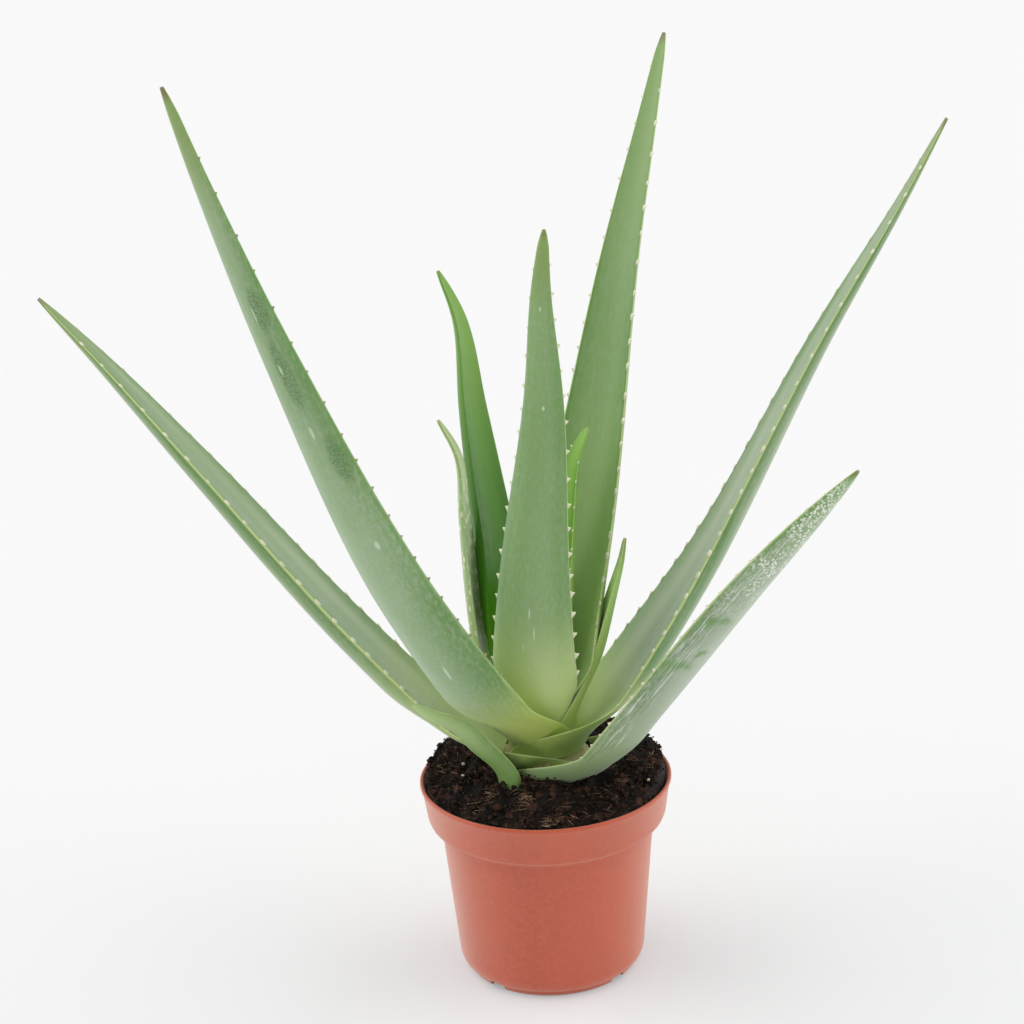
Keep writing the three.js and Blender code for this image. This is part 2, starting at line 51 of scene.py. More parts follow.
# Each leaf: base is the radius and height where it leaves the stem, shoulder where it turns
# outwards, reach its distance from the axis at LOW and HIGH of the way up, tip its end. bend moves
# the blade out and sideways at NECK, sway moves the last three stops sideways, fold is half the
# angle of the channel, twist turns the blade.
LOW = 0.28
HIGH = 0.64
NECK = 0.86
CUPPED = 0.34                   # how far up a leaf its cupped lower part goes
LEAVES = [
    dict(name="leaf_low_right", azimuth=-48, base=(23.6, 101), shoulder=(29.5, 104.5),
         reach=(74, 131.5), tip=(198.3, 298.5), sway=(1, 2.5, -2), bend=(-1.2, 1), width=28.5,
         taper=5, thick=5.7, fold=20, cup=13, twist=-2.5, sheath=32, wrap=120),
    dict(name="leaf_low_left", azimuth=176, base=(20, 108), shoulder=(28, 112.3),
         reach=(85.5, 150), tip=(222, 339.5), sway=(3.5, 4.2, -2.5), bend=(-1.5, 0), width=37,
         taper=2.8, thick=10.5, fold=13, cup=0, twist=1, sheath=42, wrap=146),
    dict(name="leaf_upper_right", azimuth=9.5, base=(17.9, 113), shoulder=(21, 119),
         reach=(76.8, 134.9), tip=(196.5, 401), sway=(0.5, 1.5, -1), bend=(1.3, 0.5), width=47,
         taper=1.55, thick=10, fold=17.5, cup=0, twist=-9.5, sheath=34, wrap=164),
    dict(name="leaf_upper_left", azimuth=-134, base=(15.3, 117.5), shoulder=(23, 126),
         reach=(90.5, 152), tip=(200.5, 469), sway=(0.5, 2.4, 0.5), bend=(0.5, -1), width=48,
         taper=0.86, thick=12.5, fold=43, cup=0, twist=16, sheath=36, wrap=120, tooth_gap=15,
         tooth_scale=0.75),
    dict(name="leaf_small_left", azimuth=165, base=(13.4, 118), shoulder=(25, 140),
         reach=(30, 33.2), tip=(43.5, 274.5), sway=(0, -0.5, 0.5), bend=(-4.6, -1), width=14.5,
         taper=2.4, thick=3.2, fold=31, cup=0, twist=0, sheath=26, wrap=70,
         tooth_scale=0.5),
    dict(name="leaf_small_right", azimuth=4, base=(13.4, 119), shoulder=(16, 133.5),
         reach=(25, 33.5), tip=(41, 215.5), sway=(3.5, 1, -1.5), bend=(0.6, 0), width=14, taper=2.1,
         thick=4.2, fold=28, cup=0, twist=1, sheath=30, wrap=86,
         tooth_scale=0.5),
    dict(name="leaf_front", azimuth=-105, base=(11.7, 123), shoulder=(18, 141), reach=(23, 25),
         tip=(31, 375), sway=(4, 12.5, 17.9), bend=(-2.5, -2), width=43.5, taper=1.1, thick=9,
         fold=33, cup=0, twist=1, sheath=46, wrap=120, tooth_gap=11.5, toothed_from=40,
         tooth_scale=1.15),
    dict(name="leaf_tall_back", azimuth=52.5, base=(10, 123), shoulder=(14, 149.5), reach=(40, 74.5),
         tip=(115.5, 433.5), sway=(-1.4, -0.2, -0.5), bend=(0, 0), width=50.5, taper=1.02, thick=10,
         fold=38, cup=0, twist=7.5, sheath=34, wrap=120),
    dict(name="leaf_back_left", azimuth=128.5, base=(8.3, 125), shoulder=(14.5, 149.5),
         reach=(29.5, 51), tip=(74, 331), sway=(-0.5, -7, -8), bend=(0, -5.4), width=38.2,
         taper=2.1, thick=8.2, fold=27, cup=0, twist=28, sheath=34, wrap=120,
         tooth_scale=0),
    dict(name="leaf_young", azimuth=35, base=(6.6, 128), shoulder=(8.5, 150), reach=(12, 18),
         tip=(31, 265.5), sway=(0, 0.5, -1.5), bend=(-1, 3), width=15, taper=2.8, thick=4, fold=35,
         cup=0, twist=6, sheath=26, wrap=120),
    dict(name="pup_leaf", azimuth=186, centre=(-16, -26), base=(4.7, 101), shoulder=(5.6, 111),
         reach=(12.6, 22.5), tip=(45, 151.5), sway=(0, 0, 0), bend=(1.4, 0), width=17, taper=2,
         thick=5, fold=30, cup=0, twist=42, sheath=34, wrap=146, tooth_scale=0.45),
]
MARGIN_THICK = 0.9
MARGIN_THINNING = 0.3           # part of the margin's thickness lost by the tip
MARGIN_ROUNDING = 10            # the higher, the squarer the margin
SHEATH_THICK = 1.3
TIP_WIDTH = 3.4                 # how wide a leaf still is where its tip rounds off
TIP_PART = 0.035
BACK_ROUNDING = 0.8             # below 1 the back is fuller than a parabola
OPENING = 0.5                   # part of the channel's fold lost by the tip
CUP_FROM = 0.08                 # part of the length where the cup starts to flatten
UPRIGHT = 1.4                   # sheath lengths over which the cross-sections tip over
SWELLING = (0.1, 1.6)           # sheath lengths over which the back swells
TWISTING = (0.05, 0.45)         # parts of the length over which the blade twists
AROUND = 44                     # faces round a leaf
ALONG = 110                     # faces along a leaf
CROWDING = 1.25                 # above 1 the faces are shorter near the stem
LAST_FACE = 0.9965              # part of the length where the blade closes

TOOTH_SPACING = 11.5
TOOTH_HEIGHT = 1.9
TOOTH_LENGTH = 5.6              # along the margin
TOOTH_WIDTH = 2.0
TOOTH_SUNK = 0.7
TOOTH_LEAN = 0.55
TOOTH_TIERS = ((0.45, 0.45), (0.35, 0.5))  # part of the rise, and how much the tooth narrows
TOOTH_POINT = (0.3, 0.2)        # parts of the rise that the point leans and climbs
TOOTHLESS = 24                  # distance from the stem where the teeth are still smallest
LEAST_TOOTH = 0.35              # size of those smallest teeth
FIRST_TOOTH = 30                # distance of the first tooth from the stem
LAST_TOOTH = 0.95               # part of the leaf's length where the teeth end
HALF_STEP = 0.4                 # part of the spacing between one margin's teeth and the other's
SHORT_LEAF = 150                # leaves shorter than this start their teeth nearer the stem
LONG_LEAF = 250                 # leaves shorter than this have their teeth closer together
CLOSEST = 0.55                  # of the spacing, on the very shortest leaf
FINEST = 0.45                   # of the teeth's size, on the very shortest leaf
SIZE_GAIN = 500                 # length of leaf that adds a whole size

POT_SIDES = 160
COLLAR_HEIGHT = 20
COLLAR_FOOT = 57                # outside of the collar just above its shoulder
SHOULDER_RADIUS = 50.7          # outside of the wall just under the collar
BASE_RADIUS = 44.7              # outside of the wall above the bottom edge
FOOT_HEIGHT = 3.2
FOOT_RADIUS = 40.5
FOOT_INSIDE = 34.0
PAD_RADIUS = 13.6
FLOOR_TOP = 5.2
NOTCH_COUNT = 4
FIRST_NOTCH = -42               # degrees
NOTCH_RADIUS = 4.5
NOTCH_LENGTH = 24
NOTCH_AT = 43                   # distance of a notch's middle from the axis
NOTCH_DROP = 0.15               # how far under the foot the notches' middle lines lie
HOLE_RADIUS = 2
HOLE_LENGTH = 12
HOLE_AT = 30.5
HOLE_HEIGHT = 3
HOLE_OFFSET = 16                # degrees from a notch to the drain hole beside it

SAME_PLACE = 1e-7               # metres: points nearer than this are one
SPIN_SEAM = 1e-6                # the same, where a spin meets its start


# ---------------------------------------------------------------- small helpers

def smooth(low, high, x):
    t = np.clip((x - low) / (high - low), 0, 1)
    return t * t * (3 - 2 * t)


def mix(a, b, t):
    return a + (b - a) * t


def deselect():
    if bpy.context.object and bpy.context.object.mode != "OBJECT":
        bpy.ops.object.mode_set(mode="OBJECT")
    bpy.ops.object.select_all(action="DESELECT")


def select_only(piece):
    deselect()
    piece.select_set(True)
    bpy.context.view_layer.objects.active = piece


def edit(piece, selecting="VERT"):
    select_only(piece)
    bpy.ops.object.mode_set(mode="EDIT")
    bpy.ops.mesh.select_mode(type=selecting)


def leave_edit():
    bpy.ops.object.mode_set(mode="OBJECT")


def points_of(piece):
    """The vertex places of a piece as an array, one row a vertex."""
    places = np.empty(len(piece.data.vertices) * 3)
    piece.data.vertices.foreach_get("co", places)
    return places.reshape(-1, 3)


def put_points(piece, places):
    piece.data.vertices.foreach_set("co", np.asarray(places, float).ravel())
    piece.data.update()


def apply_modifiers(piece):
    select_only(piece)
    for modifier in list(piece.modifiers):
        bpy.ops.object.modifier_apply(modifier=modifier.name)


def settle(piece):
    """Moves a piece's place into its mesh, so that the object itself sits at the origin."""
    select_only(piece)
    bpy.ops.object.transform_apply(location=True, rotation=True, scale=True)


def close_up(piece):
    """Merges doubled points, closes open ends and turns every face outwards."""
    edit(piece)
    bpy.ops.mesh.select_all(action="SELECT")
    bpy.ops.mesh.remove_doubles(threshold=SAME_PLACE)
    bpy.ops.mesh.select_all(action="DESELECT")
    bpy.ops.mesh.select_mode(type="EDGE")
    bpy.ops.mesh.select_non_manifold()
    bpy.ops.mesh.fill_holes(sides=0)
    bpy.ops.mesh.select_all(action="SELECT")
    bpy.ops.mesh.normals_make_consistent(inside=False)
    leave_edit()


def shade(piece, degrees=None):
    select_only(piece)
    if degrees is None:
        bpy.ops.object.shade_smooth()
    else:
        bpy.ops.object.shade_smooth_by_angle(angle=math.radians(degrees))


def join(pieces, name):
    deselect()
    for piece in pieces:
        piece.select_set(True)
    bpy.context.view_layer.objects.active = pieces[0]
    if len(pieces) > 1:
        bpy.ops.object.join()
    pieces[0].name = name
    return pieces[0]


def copy_at(model, matrix):
    """A copy of a modelled piece with its own mesh, put at a place."""
    twin = model.copy()
    twin.data = model.data.copy()
    twin.matrix_world = matrix
    bpy.context.scene.collection.objects.link(twin)
    return twin


def remove(piece):
    mesh = piece.data
    bpy.data.objects.remove(piece)
    bpy.data.meshes.remove(mesh)


def hand_over(piece, slot, *replaced):
    """Every finished piece rides on the one body, and the parts it replaces are hidden. slot is not used.
    """
    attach(piece, "root")
    if replaced:
        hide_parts(*replaced)


# ---------------------------------------------------------------- shader helpers

class Shader:
    """A material with one Principled shader, and short calls that add nodes to it."""

    def __init__(self, name, **settings):
        self.material = bpy.data.materials.new(name)
        self.material.use_nodes = True
        self.tree = self.material.node_tree
        self.surface = self.tree.nodes["Principled BSDF"]
        for socket, value in settings.items():
            self.surface.inputs[socket.replace("_", " ")].default_value = value

    def node(self, kind, **settings):
        made = self.tree.nodes.new("ShaderNode" + kind)
        for key, value in settings.items():
            setattr(made, key, value)
        return made

    def link(self, source, target):
        if isinstance(source, bpy.types.NodeSocket):
            self.tree.links.new(source, target)
        else:
            target.default_value = source

    def coordinates(self, scale=(1, 1, 1), attribute=None, shift=(0, 0, 0)):
        """Object coordinates, or the piece's own attribute, stretched and moved."""
        if attribute:
            source = self.node("Attribute", attribute_name=attribute).outputs["Vector"]
        else:
            source = self.node("TexCoord").outputs["Object"]
        mapping = self.node("Mapping")
        mapping.inputs["Scale"].default_value = scale
        mapping.inputs["Location"].default_value = shift
        self.link(source, mapping.inputs["Vector"])
        return mapping.outputs["Vector"]

    def noise(self, vector, detail, rough=0.5):
        made = self.node("TexNoise")
        made.inputs["Scale"].default_value = 1
        made.inputs["Detail"].default_value = detail
        made.inputs["Roughness"].default_value = rough
        self.link(vector, made.inputs["Vector"])
        return made.outputs["Fac"]

    def cells(self, vector, output="Distance"):
        made = self.node("TexVoronoi")
        made.inputs["Scale"].default_value = 1
        self.link(vector, made.inputs["Vector"])
        return made.outputs[output]

    def sums(self, operation, a, b=None, clamp=False):
        made = self.node("Math", operation=operation, use_clamp=clamp)
        for socket, value in zip(made.inputs, (a, b)):
            if value is not None:
                self.link(value, socket)
        return made.outputs[0]

    def step(self, value, low, high, to_low=0.0, to_high=1.0):
        """A soft step of a value from low to high."""
        made = self.node("MapRange", interpolation_type="SMOOTHSTEP")
        for socket, number in zip(("From Min", "From Max", "To Min", "To Max"),
                                  (low, high, to_low, to_high)):
            made.inputs[socket].default_value = number
        self.link(value, made.inputs["Value"])
        return made.outputs["Result"]

    def times(self, *values):
        result = values[0]
        for value in values[1:]:
            result = self.sums("MULTIPLY", result, value)
        return result

    def blend(self, amount, first, second):
        made = self.node("Mix", data_type="RGBA")
        self.link(amount, made.inputs["Factor"])
        self.link(first, made.inputs[6])
        self.link(second, made.inputs[7])
        return made.outputs[2]

    def channel(self, vector, axis):
        split = self.node("SeparateXYZ")
        self.link(vector, split.inputs[0])
        return split.outputs[axis]

    def bump(self, height, distance, strength=1.0, under=None):
        made = self.node("Bump")
        made.inputs["Distance"].default_value = distance
        made.inputs["Strength"].default_value = strength
        self.link(height, made.inputs["Height"])
        if under is not None:
            self.link(under, made.inputs["Normal"])
        return made.outputs["Normal"]

    def patch(self, place, wobble, across, along, width, length):
        """1 inside an oval round a place on the leaf, softly 0 outside it."""
        centred = self.node("Mapping")
        centred.inputs["Location"].default_value = (-across / width, -along / length, 0)
        centred.inputs["Scale"].default_value = (1 / width, 1 / length, 0)
        self.link(place, centred.inputs["Vector"])
        far = self.node("VectorMath", operation="LENGTH")
        self.link(centred.outputs["Vector"], far.inputs[0])
        return self.step(self.sums("ADD", far.outputs["Value"], wobble), 1.0, 1.6, 1, 0)

    def finish(self, colour=None, roughness=None, normal=None):
        if colour is not None:
            self.link(colour, self.surface.inputs["Base Color"])
        if roughness is not None:
            self.link(roughness, self.surface.inputs["Roughness"])
        if normal is not None:
            self.link(normal, self.surface.inputs["Normal"])
        return self.material


# ---------------------------------------------------------------- materials

WAX = (0.42, 0.5, 0.36, 1)
FACE_GAP = 0.05                 # metres that part a leaf's two faces in the attribute skin
BETWEEN_FACES = 30              # patterns a metre across that gap, so the faces don't match


class LeafSkin(Shader):
    """Waxy leaf skin, laid on in coats. The piece's attribute skin holds metres across and along,
    and place holds -1 to 1 across, 0 to 1 along and 0 on the back or 1 on the upper face."""

    def __init__(self, name, gloss, sheen, seed):
        super().__init__(name, Subsurface_Weight=0.12, Subsurface_Scale=0.006, Sheen_Weight=sheen,
                         Sheen_Roughness=0.35, Specular_IOR_Level=gloss)
        self.surface.inputs["Subsurface Radius"].default_value = (0.6, 1.0, 0.3)
        self.surface.inputs["Sheen Tint"].default_value = (0.86, 0.97, 0.92, 1)
        self.seed = seed
        self.place = self.coordinates(attribute="place")
        self.sideways = self.channel(self.place, 0)
        self.across = self.sums("ABSOLUTE", self.sideways)
        self.along = self.channel(self.place, 1)
        self.upper = self.channel(self.place, 2)
        self.from_stem = self.channel(self.coordinates(attribute="skin"), 1)
        self.clouds = self.noise(self.drawn(45, 10, (seed, seed, 0)), 2)
        self.streaks = self.noise(self.drawn(1100, 12, (seed, 0, 0)), 2, 0.6)
        self.veins = self.noise(self.drawn(2600, 45, (0, seed, 0)), 2, 0.7)
        self.fine = self.noise(self.drawn(700, 260, (0, seed, 0)), 3, 0.65)
        self.colour = None

    def drawn(self, across, along, shift):
        """Coordinates for a pattern with this many repeats a metre across and along the leaf."""
        return self.coordinates((across, along, BETWEEN_FACES), "skin", shift)

    def coat(self, amount, tint):
        self.colour = self.blend(amount, self.colour, tint)

    def body(self, deep, pale, bloom, tip, tip_from):
        # Deeper green towards both margins and paler in the middle: partly the leaf's own colour, partly
        # painted shade on the margins.
        tone_and_shade_across = self.step(self.across, 0.25, 0.98, 0.85, 0.1)
        uneven = self.step(self.clouds, 0.3, 0.7, -0.2, 0.25)
        self.colour = self.blend(self.sums("ADD", tone_and_shade_across, uneven, clamp=True), deep, pale)
        self.coat(self.step(self.streaks, 0.48, 0.72, 0, 0.35), pale)
        cloudy = self.step(self.clouds, 0.3, 0.6, 0.5, 1)
        self.coat(self.times(self.step(self.fine, 0.4, 0.7), cloudy, bloom), WAX)
        self.coat(self.times(self.step(self.along, tip_from, 0.97), 0.75), tip)

    def shade_band(self, hand):
        """A darker band beside a margin on the upper face: partly the leaf's own deeper green, partly
        painted shade in the channel.
        """
        beside = self.times(self.sideways, hand)
        self.coat(self.times(self.step(beside, -0.4, 0.1), self.upper, 0.4), (0.12, 0.25, 0.06, 1))

    def foot(self, base, reach):
        # Colour near the stem, fading out by reach metres up: the leaf's own base colour; where it is pale,
        # partly painted light that lifts the shade in the crown.
        self.coat(self.times(self.step(self.from_stem, 0.015, reach, 1, 0), 0.85), base)

    def rub(self, patches):
        mottle = self.noise(self.drawn(1500, 900, (self.seed, 2, 0)), 4, 0.8)
        for patch in patches:
            worn = self.step(mottle, 0.42, 0.58, 0.1, 0.85)
            self.coat(self.times(self.patch(self.place, self.clouds, *patch), worn),
                      (0.085, 0.19, 0.05, 1))

    def wedge(self, patches):
        for left, low, wide, long in patches:
            whole = self.patch(self.place, self.fine, left, low + 0.55 * long, wide, long)
            hidden = self.patch(self.place, self.fine, left + 0.3 * wide, low, wide, long)
            self.coat(self.times(whole, self.sums("SUBTRACT", 1.0, hidden), 0.85),
                      (0.12, 0.28, 0.05, 1))

    def mark(self, patches):
        for patch in patches:
            self.coat(self.times(self.patch(self.place, self.fine, *patch), 0.75),
                      (0.62, 0.72, 0.56, 1))

    def fleck(self, amount):
        spots = self.step(self.cells(self.drawn(540, 190, (self.seed, 0, 0))), 0.28, 0.36, 1, 0)
        self.coat(self.times(spots, self.step(self.along, 0.85, 0.7), amount), (0.93, 0.94, 0.76, 1))

    def silver(self, amount):
        """Grainy wax towards the tip."""
        grains = self.step(self.cells(self.drawn(1000, 620, (self.seed, 4, 0))), 0.3, 0.55, 1, 0)
        patchy = self.noise(self.drawn(150, 70, (self.seed, 5, 0)), 2)
        grainy = self.times(grains, self.step(patchy, 0.38, 0.55, 0.25, 1))
        reach = self.times(self.step(self.along, 0.52, 0.74), self.step(self.along, 0.95, 0.99, 1, 0))
        self.coat(self.times(grainy, reach, amount), (0.9, 0.93, 0.86, 1))

    def wax_and_gloss_streaks(self, hand):
        """White streaks beside a margin: partly whitish wax scuffs, partly painted gloss."""
        beside = self.times(self.sideways, hand)
        strip = self.times(self.step(beside, 0.35, 0.6), self.step(beside, 0.97, 0.9))
        wet = self.noise(self.drawn(1500, 45, (self.seed, 6, 0)), 3, 0.7)
        streaky = self.times(self.step(wet, 0.5, 0.66), self.step(self.from_stem, 0.02, 0.06))
        self.coat(self.times(strip, streaky, 0.6), (0.86, 0.91, 0.86, 1))

    def edges(self, edge_line, dry):
        """A green line, then a pale margin, and the dried tip."""
        beside = self.times(self.step(self.across, 0.84, 0.95), self.step(self.from_stem, 0.06, 0.16), 0.5)
        self.coat(beside, (0.1, 0.24, 0.04, 1))
        self.coat(self.times(self.step(self.across, 0.962, 0.985), edge_line), (0.6, 0.7, 0.3, 1))
        self.coat(self.times(self.step(self.along, 0.975, 0.995), dry), (0.2, 0.13, 0.06, 1))

    def polish(self):
        roughness = self.step(self.fine, 0.3, 0.75, 0.3, 0.5)
        ridges = self.bump(self.streaks, 0.00014, 0.45)
        lined = self.bump(self.veins, 0.00006, 0.5, ridges)
        return self.finish(self.colour, roughness, self.bump(self.fine, 0.00009, 0.45, lined))


def leaf_skin(name, deep=(0.13, 0.27, 0.065, 1), pale=(0.25, 0.39, 0.16, 1), base=(0.5, 0.63, 0.2, 1),
              tip=(0.24, 0.34, 0.08, 1), tip_from=0.8, base_reach=0.1, bloom=0.3, flecks=0.0, rubs=(),
              wedges=(), marks=(), silver=0.0, gloss_streak_margin=0, shaded_margin=0, edge_line=0.85, dry=0.75, gloss=0.5,
              sheen=0.3, seed=0.0):
    """rubs are dark mottled patches, wedges bare green crescents and marks pale spots, each given
    as across, along, width and length in parts of the leaf. The two margin arguments give, as -1
    or 1, the margin with white streaks beside it, partly wax scuffs and partly painted gloss, and
    the margin with a dark band on its upper face, partly deeper green and partly painted shade."""
    skin = LeafSkin(name, gloss, sheen, seed)
    skin.body(deep, pale, bloom, tip, tip_from)
    if shaded_margin:
        skin.shade_band(shaded_margin)
    skin.foot(base, base_reach)
    skin.rub(rubs)
    skin.wedge(wedges)
    skin.mark(marks)
    if flecks:
        skin.fleck(flecks)
    if silver:
        skin.silver(silver)
    if gloss_streak_margin:
        skin.wax_and_gloss_streaks(gloss_streak_margin)
    skin.edges(edge_line, dry)
    return skin.polish()


def tooth_horn(name, dull=(0.74, 0.76, 0.46, 1), bright=(0.88, 0.88, 0.66, 1)):
    horn = Shader(name, Roughness=0.4)
    patchy = horn.noise(horn.coordinates((400, 400, 400)), 2)
    colour = horn.blend(horn.step(patchy, 0.35, 0.65), dull, bright)
    return horn.finish(colour, normal=horn.bump(patchy, 0.0001, 0.4))


def dry_paper():
    paper = Shader("dry_leaf_paper", Roughness=0.85)
    fibre = paper.noise(paper.coordinates((500, 500, 60)), 4, 0.6)
    blotch = paper.noise(paper.coordinates((90, 90, 90)), 3)
    colour = paper.blend(paper.step(fibre, 0.3, 0.7), (0.3, 0.3, 0.08, 1), (0.58, 0.6, 0.24, 1))
    height = paper.channel(paper.coordinates(), 2)
    # Darker blotches on the strip's upper part.
    blotched_top = paper.times(paper.step(blotch, 0.42, 0.6, 0.3, 1), paper.step(height, 0.111, 0.1145))
    colour = paper.blend(blotched_top, colour, (0.05, 0.035, 0.02, 1))
    return paper.finish(colour, normal=paper.bump(fibre, 0.0004, 0.8))


def pale_stock():
    stock = Shader("pale_stock", Roughness=0.6)
    rings = stock.noise(stock.coordinates((60, 60, 700)), 3)
    colour = stock.blend(stock.step(rings, 0.35, 0.65), (0.42, 0.4, 0.17, 1), (0.58, 0.56, 0.3, 1))
    return stock.finish(colour, normal=stock.bump(rings, 0.0003, 0.6))


def moist_peat(name, dark=(0.005, 0.003, 0.002, 1), light=(0.019, 0.009, 0.006, 1), lit=0.25):
    """Wet peat. Small patches of it, no two alike, are drier and redder; lit says how many."""
    peat = Shader(name, Roughness=0.85, Specular_IOR_Level=0.2)
    clods = peat.noise(peat.coordinates((70, 70, 70)), 5, 0.65)
    grains = peat.noise(peat.coordinates((900, 900, 900)), 3, 0.7)
    threads = peat.noise(peat.coordinates((900, 130, 500)), 2, 0.6)
    bits = peat.channel(peat.cells(peat.coordinates((330, 330, 330)), output="Color"), 0)
    colour = peat.blend(peat.step(clods, 0.42, 0.7), dark, light)
    colour = peat.blend(peat.step(bits, 1 - lit, 1.0, 0, 0.9), colour, (0.075, 0.03, 0.018, 1))
    colour = peat.blend(peat.step(grains, 0.64, 0.74, 0, 0.22), colour, (0.2, 0.11, 0.06, 1))
    colour = peat.blend(peat.step(threads, 0.64, 0.72, 0, 0.5), colour, (0.17, 0.09, 0.045, 1))
    roughness = peat.step(grains, 0.35, 0.7, 0.5, 0.95)
    return peat.finish(colour, roughness, peat.bump(grains, 0.0009, 0.9, peat.bump(clods, 0.002, 0.6)))


def pale_grit():
    grit = Shader("pale_grit", Roughness=0.7)
    grains = grit.noise(grit.coordinates((1500, 1500, 1500)), 2)
    colour = grit.blend(grit.step(grains, 0.4, 0.6), (0.4, 0.32, 0.2, 1), (0.75, 0.68, 0.5, 1))
    return grit.finish(colour, normal=grit.bump(grains, 0.0003, 0.8))


def terracotta_plastic():
    plastic = Shader("terracotta_plastic", Specular_IOR_Level=0.6, Sheen_Weight=0.5,
                     Sheen_Roughness=0.5)
    plastic.surface.inputs["Sheen Tint"].default_value = (1, 0.74, 0.6, 1)
    haze = plastic.noise(plastic.coordinates((18, 18, 9)), 3)
    grain = plastic.noise(plastic.coordinates((1400, 1400, 1400)), 2)
    scuffs = plastic.noise(plastic.coordinates((60, 60, 700)), 2, 0.7)
    speckle = plastic.noise(plastic.coordinates((520, 520, 520)), 3, 0.7)
    colour = plastic.blend(plastic.step(haze, 0.35, 0.65), (0.49, 0.07, 0.023, 1), (0.56, 0.087, 0.03, 1))
    colour = plastic.blend(plastic.step(speckle, 0.38, 0.66, 0, 0.35), colour, (0.62, 0.125, 0.062, 1))
    colour = plastic.blend(plastic.step(scuffs, 0.68, 0.8, 0, 0.25), colour, (0.62, 0.25, 0.17, 1))
    roughness = plastic.step(haze, 0.3, 0.7, 0.3, 0.42)
    pitted = plastic.bump(speckle, 0.0001, 0.5)
    return plastic.finish(colour, roughness, plastic.bump(grain, 0.00012, 0.5, pitted))


def pale_floor():
    """Cream paper lit from below by a cool lamp, as on a light table: together they look white."""
    floor = Shader("pale_floor", Roughness=0.9, Specular_IOR_Level=0.1, Emission_Strength=0.29)
    floor.surface.inputs["Emission Color"].default_value = (0.51, 0.925, 1, 1)
    tone = floor.noise(floor.coordinates((2, 2, 2)), 2)
    return floor.finish(floor.blend(tone, (0.72, 0.61, 0.59, 1), (0.73, 0.62, 0.6, 1)))


# ---------------------------------------------------------------- leaves

def smooth_line(stops, samples=500):
    """A centripetal spline through the stops: its points and their distances from the start."""
    stops = [np.array(stop, float) for stop in stops]
    ends = [2 * stops[0] - stops[1], *stops, 2 * stops[-1] - stops[-2]]
    pieces = len(stops) - 1
    points = []
    for t in np.linspace(0, 1, samples):
        k = min(int(pieces * t), pieces - 1)
        w = pieces * t - k
        a, b, c, d = ends[k:k + 4]
        ab, bc, cd = [math.sqrt(np.linalg.norm(q - p)) for p, q in ((a, b), (b, c), (c, d))]
        leaving = ((b - a) / ab - (c - a) / (ab + bc) + (c - b) / bc) * bc
        arriving = ((c - b) / bc - (d - b) / (bc + cd) + (d - c) / cd) * bc
        points.append(b + leaving * w + (3 * (c - b) - 2 * leaving - arriving) * w ** 2
                      + (leaving + arriving + 2 * (b - c)) * w ** 3)
    points = np.array(points)
    steps = np.linalg.norm(np.diff(points, axis=0), axis=1)
    return points, np.concatenate([[0], np.cumsum(steps)])


